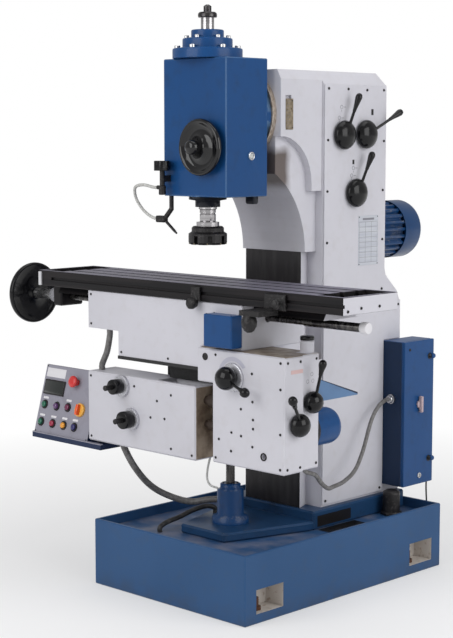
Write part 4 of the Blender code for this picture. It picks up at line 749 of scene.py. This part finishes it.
for y, z in ((-0.437, 0.925), (-0.432, 0.9), (-0.46, 0.9)):
    fittings.append((lathe(washer(0.006, 0.0074, 0.0, 0.0004), (0.5348, y, z), SIDE, 20), ink))
arc_plate = grained("arc_plate", (0.46, 0.46, 0.54), (80.0, 2.0), (0.34, 0.5), metallic=0.2)[0]
arc = lathe(washer(0.06, 0.076, 0.0, 0.0005), (0.294, BOX_FRONT, 0.905), FRONT, 72)
bmesh.ops.bisect_plane(arc, geom=arc.verts[:] + arc.edges[:] + arc.faces[:], plane_co=(0.294, -0.6, 0.925),
                       plane_no=(-0.35, 0, 1), clear_inner=True)
bmesh.ops.holes_fill(arc, edges=arc.edges[:])
fittings.append((arc, arc_plate))
piece("box_fittings", "knee", fittings)


# ---- feed motor and guard
# The feed motor is flanged to the back of the right box; a folded pale blue guard stands over it.
eased_copy("feed_motor", "knee", blue_enamel)
guard_paint, guard_shade = enamel("guard_enamel", (0.12, 0.22, 0.39), 0.38, 0.08, soil=(0.08, 0.1, 0.16),
                                  soiling=0.3)
across, back, height = guard_paint.axes()
top_line = height - 0.3578 * (-0.04 - back)
rim_mask = (top_line > 0.793) + (across < 0.417)
guard_paint.colour(rim_mask.span(0.2, 0.8), guard_shade, (0.01, 0.02, 0.05))
wear("feed_guard", guard_paint)
band = mm((70.3, -0.5), (72.5, 0.5), (72.5, 11.5), (70.3, 12.5), (69, 12.5), (69, -0.5), (70.3, -0.5))
piece("motor_band", "knee", [(lathe(band, (0.44, -0.37, 0.7), BEHIND, 48), blackened)])


# ---- control panel
# A sloping grey face with push buttons in plated bezels, a red stop button, a rotary switch,
# a lamp and a dark read-out.
TILT = math.radians(15.4)
OUT = Vector((0, -math.cos(TILT), math.sin(TILT)))
UP = Vector((0, math.sin(TILT), math.cos(TILT)))
LOW_EDGE = Vector((0, -0.6, 0.538))


def on_panel(x, along, out=0.0):
    return LOW_EDGE + Vector((x, 0, 0)) + UP * along + OUT * out


def panel_bar(x_low, x_high, low, high, out_low, out_high, round_off=0.0):
    """A block that lies along the panel's face."""
    made = bar((x_low, low, out_low), (x_high, high, out_high), round_off)
    turn = Matrix((SIDE, UP, OUT)).transposed().to_4x4()
    return moved(made, Matrix.Translation(LOW_EDGE) @ turn)


panel_paint, panel_shade = enamel("panel_enamel", (0.3, 0.295, 0.35), 0.4, 0.08, soil=(0.16, 0.15, 0.17),
                                  soiling=0.35, chips=0.3)
across, back, height = panel_paint.axes()
behind = ((back + 0.6 - 0.2755 * (height - 0.538)) > 0.0025) + (height < 0.55)
panel_paint.colour(behind.span(0.2, 0.8), panel_shade, (0.01, 0.022, 0.065))
wear("control_panel", panel_paint)


def moulded(name, colour):
    """Self-coloured plastic, a little dulled where fingers press."""
    return grained(name + "_moulding", colour, (120.0, 3.0), (0.22, 0.4), (colour, scaled(colour, 0.6)),
                   (0.45, 0.8), 0.5, coat=0.35, coat_roughness=0.08)[0]


PLASTICS = {"red": (0.62, 0.022, 0.02), "maroon": (0.135, 0.012, 0.06), "green": (0.008, 0.13, 0.075),
            "amber": (0.78, 0.33, 0.03), "navy": (0.022, 0.02, 0.13), "orange": (0.82, 0.095, 0.01),
            "crimson": (0.33, 0.012, 0.05), "yellow": (0.86, 0.43, 0.06)}
plastic = {name: moulded(name, colour) for name, colour in PLASTICS.items()}
BUTTONS = [(-0.838, 0.133, "green", "green_cap"), (-0.69, 0.136, "maroon", "maroon_cap"),
           (-0.84, 0.059, "green", "green_cap"), (-0.766, 0.059, "crimson", "red_cap"),
           (-0.695, 0.06, "amber", "yellow_cap"), (-0.628, 0.061, "navy", "navy_cap")]
cap = mm((0, 12), (6, 11.9), (9.8, 11.2), (11.5, 10), (12, 8.5), (12, -1.5), (0, -1.5))
for count, (x, along, colour, slot_name) in enumerate(BUTTONS, 1):
    piece(f"push_{count}", f"button_{count}", [(lathe(cap, on_panel(x, along), OUT, 32), plastic[colour])],
          [f"button_{count}"])
LAMP = on_panel(-0.761, 0.133)
bezel = mm((13, 0), (19, 0), (19, 2.5), (17.5, 4.5), (14.5, 5), (13, 4.2), (13, 0))
bezels = [(lathe(bezel, on_panel(x, along), OUT, 32), blackened) for x, along, *_ in BUTTONS]
bezels.append((lathe(bezel, LAMP, OUT, 32), blackened))
lens_cap = mm((0, 16), (6, 15.5), (10, 13.5), (12.2, 10.2), (12.2, 0), (0, 0))
lamp_glass = grained("lamp_lens", (0.1, 0.03, 0.145), (120.0, 2.0), (0.08, 0.2),
                     coat=0.8, coat_roughness=0.05)[0]
screen = grained("read_out", (0.006, 0.01, 0.009), (60.0, 3.0), (0.07, 0.2), coat=0.6, coat_roughness=0.04)[0]
label = grained("blank_label", (0.72, 0.71, 0.74), (60.0, 3.0), (0.36, 0.5))[0]
bezels += [(lathe(lens_cap, LAMP, OUT, 32), lamp_glass),
           (panel_bar(-0.859, -0.731, 0.176, 0.239, 0.0004, 0.0052, 0.0012), blackened),
           (panel_bar(-0.853, -0.737, 0.182, 0.233, 0.005, 0.006, 0.0003), screen),
           (panel_bar(-0.862, -0.742, 0.25, 0.288, 0.0001, 0.0012, 0.0003), label)]
CORNERS = [on_panel(x, along, -0.0001) for x in (-0.866, -0.542) for along in (0.019, 0.295)]
bezels += screws(CORNERS, OUT, 0.0032, 0.0016)
for x, along, *_ in BUTTONS:
    plate = panel_bar(x - 0.016, x + 0.016, along + 0.024, along + 0.033, 0.0001, 0.0009, 0.0002)
    bezels.append((plate, label))
piece("panel_fittings", "knee", bezels)
mushroom = mm((0, 35), (8, 34.7), (16, 33.5), (22, 31), (24.2, 28), (24.5, 23.5), (22.5, 19), (18, 16.5),
              (13, 15.5), (13, -1.5), (0, -1.5))
piece("stop_mushroom", "emergency_stop",
      [(lathe(mushroom, on_panel(-0.662, 0.244), OUT, 40), plastic["red"])],
      ["emergency_stop"], 45.0)
yellow_disc = mm((0, 10), (25, 10), (27.2, 9.2), (28, 7.5), (28, 0.3), (0, 0.3))
piece("switch_handle", "rotary_switch",
      [(lathe(yellow_disc, on_panel(-0.61, 0.134), OUT, 40), plastic["yellow"]),
       (panel_bar(-0.617, -0.603, 0.112, 0.156, 0.0095, 0.026, 0.003), plastic["orange"])],
      ["rotary_switch"])


# ---- saddle
# The saddle casting slides on the knee and carries the table; a dark wiper strip seals its foot.
# A small blue box on its front holds the limit switches.
wear("saddle", white_enamel)
wear("limit_box", blue_enamel)
piece("saddle_wiper", "saddle",
      [(bar((-0.369, -0.5728, 0.9056), (0.097, -0.5702, 0.919), 0.0006, 1), rubber)])
WIPER_SPOTS = ((-0.082, 0.934), (-0.35, 0.934), (-0.53, 1.034), (-0.53, 1.152))
SADDLE_SPOTS = [(x, -0.5699, z) for x, z in WIPER_SPOTS]
LID_SPOTS = [(x, y, 1.1329) for x in (0.178, 0.305) for y in (-0.621, -0.58)]
piece("saddle_screws", "saddle",
      screws(SADDLE_SPOTS, FRONT, 0.0048, 0.0024) + screws(LID_SPOTS, UPRIGHT, 0.0032, 0.0016))


# ---- table
# Planed and ground cast iron with three T-slots and a coolant trough at each end. The top is
# bright from use, the sides are dark with oil, and the two ends are painted.
ground = Finish("ground_iron", (0.1, 0.09, 0.11), 0.36, 0.55, 0.0, 0.1, 0.18)
across, back, height = ground.axes()
feed_lines = ground.noise(30.0, 4.0, (0.08, 2.4, 2.4))
stain = ground.noise(5.5, 4.0, (0.5, 1.4, 1.0))
sides = ground.mix(feed_lines.span(0.4, 0.7), (0.0085, 0.008, 0.0095), (0.02, 0.017, 0.018))
face = ground.mix(feed_lines.span(0.35, 0.7), (0.145, 0.135, 0.18), (0.235, 0.225, 0.29))
face = ground.mix(stain.span(0.5, 0.78) * 0.6, face, (0.075, 0.068, 0.085))
on_top = (height > 1.2313) * 1.0
shade = ground.mix(on_top, sides, face)
on_clip = (back < -0.5784) * 1.0
shade = ground.mix(on_clip, shade, (0.62, 0.62, 0.64))
tips = (across > 0.7985) + (across < -0.8485) * (height > 1.2005)
painted = (tips * (height < 1.23) + (across > 0.6585) * (height < 1.1685)).span(0.2, 0.8)
ground.colour(painted, shade, WHITE)
ground.feed("Roughness", feed_lines.span(0.3, 0.7, 0.3, 0.44) + stain * 0.08)
ground.feed("Metallic", on_top.span(0.0, 1.0, 0.0, 0.45) * (1 - on_clip) * (1 - painted))
ground.bump(feed_lines, 0.05, 0.0005, ground.rounding(0.0012))
wear("table", ground)
END_SPOTS = [(0.8002, y, z) for y, z in ((-0.555, 1.182), (-0.483, 1.189), (-0.382, 1.189))]
piece("table_end_screws", "table", screws(END_SPOTS, SIDE))

# The table handwheel: a black dished rim, satin graduated collar, clutch ring and the lead screw.
WHEEL = Vector((-1.07, -0.428, 1.112))


def collar_tick(notch):
    return bar((0.17, -0.0004, 0.0378), (0.176 if notch % 5 else 0.18, 0.0004, 0.0382))


rim = mm((0, -32), (10, -32), (29, -31), (33, -26), (36, -9), (42, -6.5), (106, -6.2), (113, -8.5),
         (119, -11.5), (124, -11.8), (128.5, -9), (130, -4), (130, 4), (128.5, 9), (124, 11.8), (119, 11),
         (112, 5), (42, 8), (30, 18), (22, 22), (0, 22))
stem = mm((0, 22), (22, 22), (22, 134.5), (0, 134.5))
collar = mm((22, 136.7), (29, 136.7), (30, 138), (30, 166), (37, 168), (38, 170), (38, 195.5), (34, 199.4),
            (0, 199.4))
screw_bar = mm((0, 200), (12.9, 200), (12.9, 1562), (16, 1564), (16, 1830), (14.5, 1832), (0, 1832))
wheel_parts = [(lathe(rim, WHEEL, SIDE, 72), phenolic), (lathe(stem, WHEEL, SIDE, 32), plated),
               (lathe(collar, WHEEL, SIDE, 40), silver)]
wheel_parts += [(tick, ink) for tick in turned_round(40, WHEEL, "X", collar_tick)]
piece("table_handwheel", "table_wheel", wheel_parts, ["table_wheel"], 45.0)
end_cap = mm((16.2, 1830), (20.5, 1831.5), (21.5, 1834), (21.5, 1856), (19.5, 1860), (0, 1860))
piece("lead_bar", "table_wheel",
      [(lathe(screw_bar, WHEEL, SIDE, 24), oiled), (lathe(end_cap, WHEEL, SIDE, 32), label)],
      ["lead_screw"], 45.0)

# Trip dogs are clamped in the groove on the table's front and knock the feed off.
for dog in ("trip_dog_left", "trip_dog_right"):
    eased_copy(dog, dog, blackened)


# ---- coolant line
# A tap with a fluted knob on the head feeds a jointed hose, which ends in a swivel block with
# a tapered nozzle aimed at the cutter.
wear("coolant_valve", blackened)
eased_copy("valve_knob", "valve_knob", phenolic)
wear("coolant_nozzle", blackened)


def smooth_route(route, spacing):
    """Points along a smooth curve through the chosen route points."""
    route = [Vector(spot) for spot in route]
    padded = [2 * route[0] - route[1], *route, 2 * route[-1] - route[-2]]
    points = []
    for before, first, last, after in zip(padded, padded[1:], padded[2:], padded[3:]):
        count = max(2, round((last - first).length / spacing))
        for step in range(count):
            t = step / count
            points.append(0.5 * (2 * first + (last - before) * t
                                 + (2 * before - 5 * first + 4 * last - after) * t * t
                                 + (3 * first - before - 3 * last + after) * t ** 3))
    points.append(route[-1])
    return points


def tube(name, body, route, radius, finish, rib=0.0, depth=0.0, nodes=()):
    """A tube along its route, ribbed if it has a rib spacing."""
    points = smooth_route(route, rib / 2 if rib else radius)
    curve = bpy.data.curves.new(name, "CURVE")
    curve.dimensions = "3D"
    curve.bevel_depth = radius
    curve.bevel_resolution = 4
    curve.use_fill_caps = True
    line = curve.splines.new("POLY")
    line.points.add(len(points) - 1)
    for index, (spot, place) in enumerate(zip(line.points, points)):
        spot.co = (*place, 1.0)
        spot.radius = 1.0 - depth * (index % 2)
    drawn = bpy.data.objects.new(name, curve)
    mesh = bpy.data.meshes.new_from_object(drawn)
    bpy.data.objects.remove(drawn)
    skin = bmesh.new()
    skin.from_mesh(mesh)
    bpy.data.meshes.remove(mesh)
    bmesh.ops.remove_doubles(skin, verts=skin.verts, dist=1e-6)
    bmesh.ops.recalc_face_normals(skin, faces=skin.faces)
    return piece(name, body, [(skin, finish)], nodes, 60.0)


def hose(name, route, radius, finish, nodes, body, rib=0.0, depth=0.0):
    """A tube between two fittings; one given a pair of bodies rides on neither and stays where it is drawn.
    """
    carrier = body if isinstance(body, str) else None
    made = tube(name, carrier, route, radius, finish, rib, depth, nodes)
    if not carrier:
        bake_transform(made)


jointed = grained("jointed_hose", (0.5, 0.5, 0.48), (120.0, 4.0), (0.34, 0.56),
                  ((0.56, 0.56, 0.54), (0.26, 0.25, 0.23)), (0.45, 0.75), 0.6)[0]
hose("jointed_coolant_hose",
     mm((-162.8, -544.5, 1588), (-186.5, -544.5, 1588), (-246, -544, 1596), (-306, -530, 1584),
        (-325, -510, 1545), (-312, -494, 1506), (-284, -486, 1480), (-250, -485, 1466),
        (-228.3, -485, 1466)),
     0.0065, jointed, ["coolant_hose"], "head", 0.008, 0.22)

# A thin bent pipe under the knee lets stray oil run back into the tray.
tube("oil_spout", "knee", mm((35, -440, 599), (32, -442, 575), (16, -448, 520), (9, -450, 465),
                             (26, -450, 437), (66, -450, 431)), 0.0042, jointed)


# ---- conduits and leads
# Steel-cored grey conduit runs from the cabinet to the knee and from the plinth to the feed box,
# with slack for the knee's travel. A short length joins the saddle, and a black hose returns coolant.
conduit = grained("grey_conduit", (0.21, 0.21, 0.2), (70.0, 4.0), (0.38, 0.58),
                  ((0.17, 0.166, 0.165), (0.075, 0.07, 0.066)), (0.4, 0.75), 0.8, metallic=0.1)[0]
conduit.bump(conduit.noise(260.0, 2.0), 0.1, 0.0005)
hose("cabinet_conduit",
     mm((256, 366.7, 702), (256, 346.7, 702), (262, 290, 682), (275, 228, 630), (295, 155, 525),
        (315, 81, 458), (343, -20, 432), (375, -125, 432), (400, -185, 440), (432, -262, 478),
        (458, -325, 522), (476, -398, 548), (476, -410, 561.7), (476, -410, 573.7)), 0.0085, conduit,
     ["conduit_cabinet", "conduit_knee"],
     ("machine", "knee", (0.275, 0.228, 0.5), (0.47, -0.4, 0.5)), 0.005, 0.1)
hose("left_conduit",
     mm((-420, -500, 562.7), (-420, -500, 538.7), (-392, -470, 455), (-378, -400, 370), (-345, -330, 318),
        (-270, -270, 292), (-195, -228, 306), (-138, -192, 308), (-118, -182, 282.3), (-118, -182, 262.3)),
     0.014, conduit, ["conduit_left"],
     ("machine", "knee", (-0.27, -0.27, 0.292), (-0.42, -0.5, 0.56)), 0.007, 0.08)
hose("saddle_conduit",
     mm((-443, -548, 1015.7), (-443, -548, 990), (-460, -548, 925), (-490, -548, 870), (-490, -548, 847.3)),
     0.013, conduit, ["saddle_hose"],
     ("knee", "saddle", (-0.49, -0.548, 0.85), (-0.443, -0.548, 1.01)), 0.007, 0.08)
rubber_hose = grained("black_hose", (0.022, 0.022, 0.023), (60.0, 4.0), (0.44, 0.66),
                      ((0.018, 0.018, 0.019), (0.09, 0.085, 0.08)), (0.45, 0.8), 0.7)[0]
hose("return_hose",
     mm((-185, -520, 225.3), (-185, -520, 243), (-190, -480, 256), (-192, -400, 266), (-180, -345, 283),
        (-162, -295, 294), (-150, -262, 290), (-146, -248, 278.3), (-146, -248, 262.3)), 0.01, rubber_hose,
     ["floor_hose"], "machine")
hose("pump_lead",
     mm((300, 572, 335.7), (300, 572, 300), (302, 574, 220), (302, 562, 165), (302, 535, 142),
        (302, 520.3, 142)), 0.0035, rubber_hose, ["pump_cable"], "machine")


# ---- floor and light
# A plain pale floor that turns to white with distance, under broad soft lamps.
class Stage(Finish):
    """A floor finish that keeps the shadow near the machine and is plain white beyond."""

    def whiten(self):
        reach = self.node("ShaderNodeVectorMath", {"operation": "LENGTH"}, [self.place], "Value")
        far = reach.span(1.3, 3.4, 0.35, 1.0)
        path = self.node("ShaderNodeLightPath", {}, {}, "Is Camera Ray")
        mirror = Wire(self, path.socket.node.outputs["Is Glossy Ray"])
        white = self.node("ShaderNodeEmission", {}, {"Color": (1, 1, 1, 1), "Strength": 1.0})
        shader = Wire(self, self.shader.outputs[0])
        share = (far * (path + mirror)).span(0.0, 1.0)
        blended = self.node("ShaderNodeMixShader", {}, [share, shader, white])
        self.links.new(blended.socket, self.nodes["Material Output"].inputs["Surface"])


floor_paint = Stage("studio_floor", (0.86, 0.86, 0.87), 0.9)
floor_paint.whiten()
slab = bmesh.new()
bmesh.ops.create_grid(slab, x_segments=1, y_segments=1, size=30.0)
studio_floor = piece("studio_floor", None, [(slab, floor_paint)])

sky = bpy.data.worlds.new("studio")
bpy.context.scene.world = sky
sky.use_nodes = True
background = sky.node_tree.nodes["Background"]
background.inputs["Color"].default_value = (1.0, 1.0, 1.0, 1.0)
ray = sky.node_tree.nodes.new("ShaderNodeLightPath")
level = sky.node_tree.nodes.new("ShaderNodeMapRange")
level.inputs["To Min"].default_value = 0.5
level.inputs["To Max"].default_value = 1.0
sky.node_tree.links.new(ray.outputs["Is Camera Ray"], level.inputs["Value"])
sky.node_tree.links.new(level.outputs["Result"], background.inputs["Strength"])


def lamp(name, spot, aim, size, power):
    light = bpy.data.lights.new(name, "AREA")
    light.shape = "SQUARE"
    light.size = size
    light.energy = power
    made = bpy.data.objects.new(name, light)
    made.location = spot
    made.rotation_euler = (Vector(aim) - Vector(spot)).to_track_quat("-Z", "Y").to_euler()
    bpy.context.scene.collection.objects.link(made)


lamp("front_lamp", (-0.6, -5.2, 3.2), (0.0, -0.2, 1.0), 3.6, 122)
lamp("side_lamp", (5.2, 0.6, 3.0), (0.0, 0.0, 1.0), 3.6, 122)
lamp("top_lamp", (0.4, 0.2, 5.6), (0.0, 0.0, 0.6), 3.5, 56)
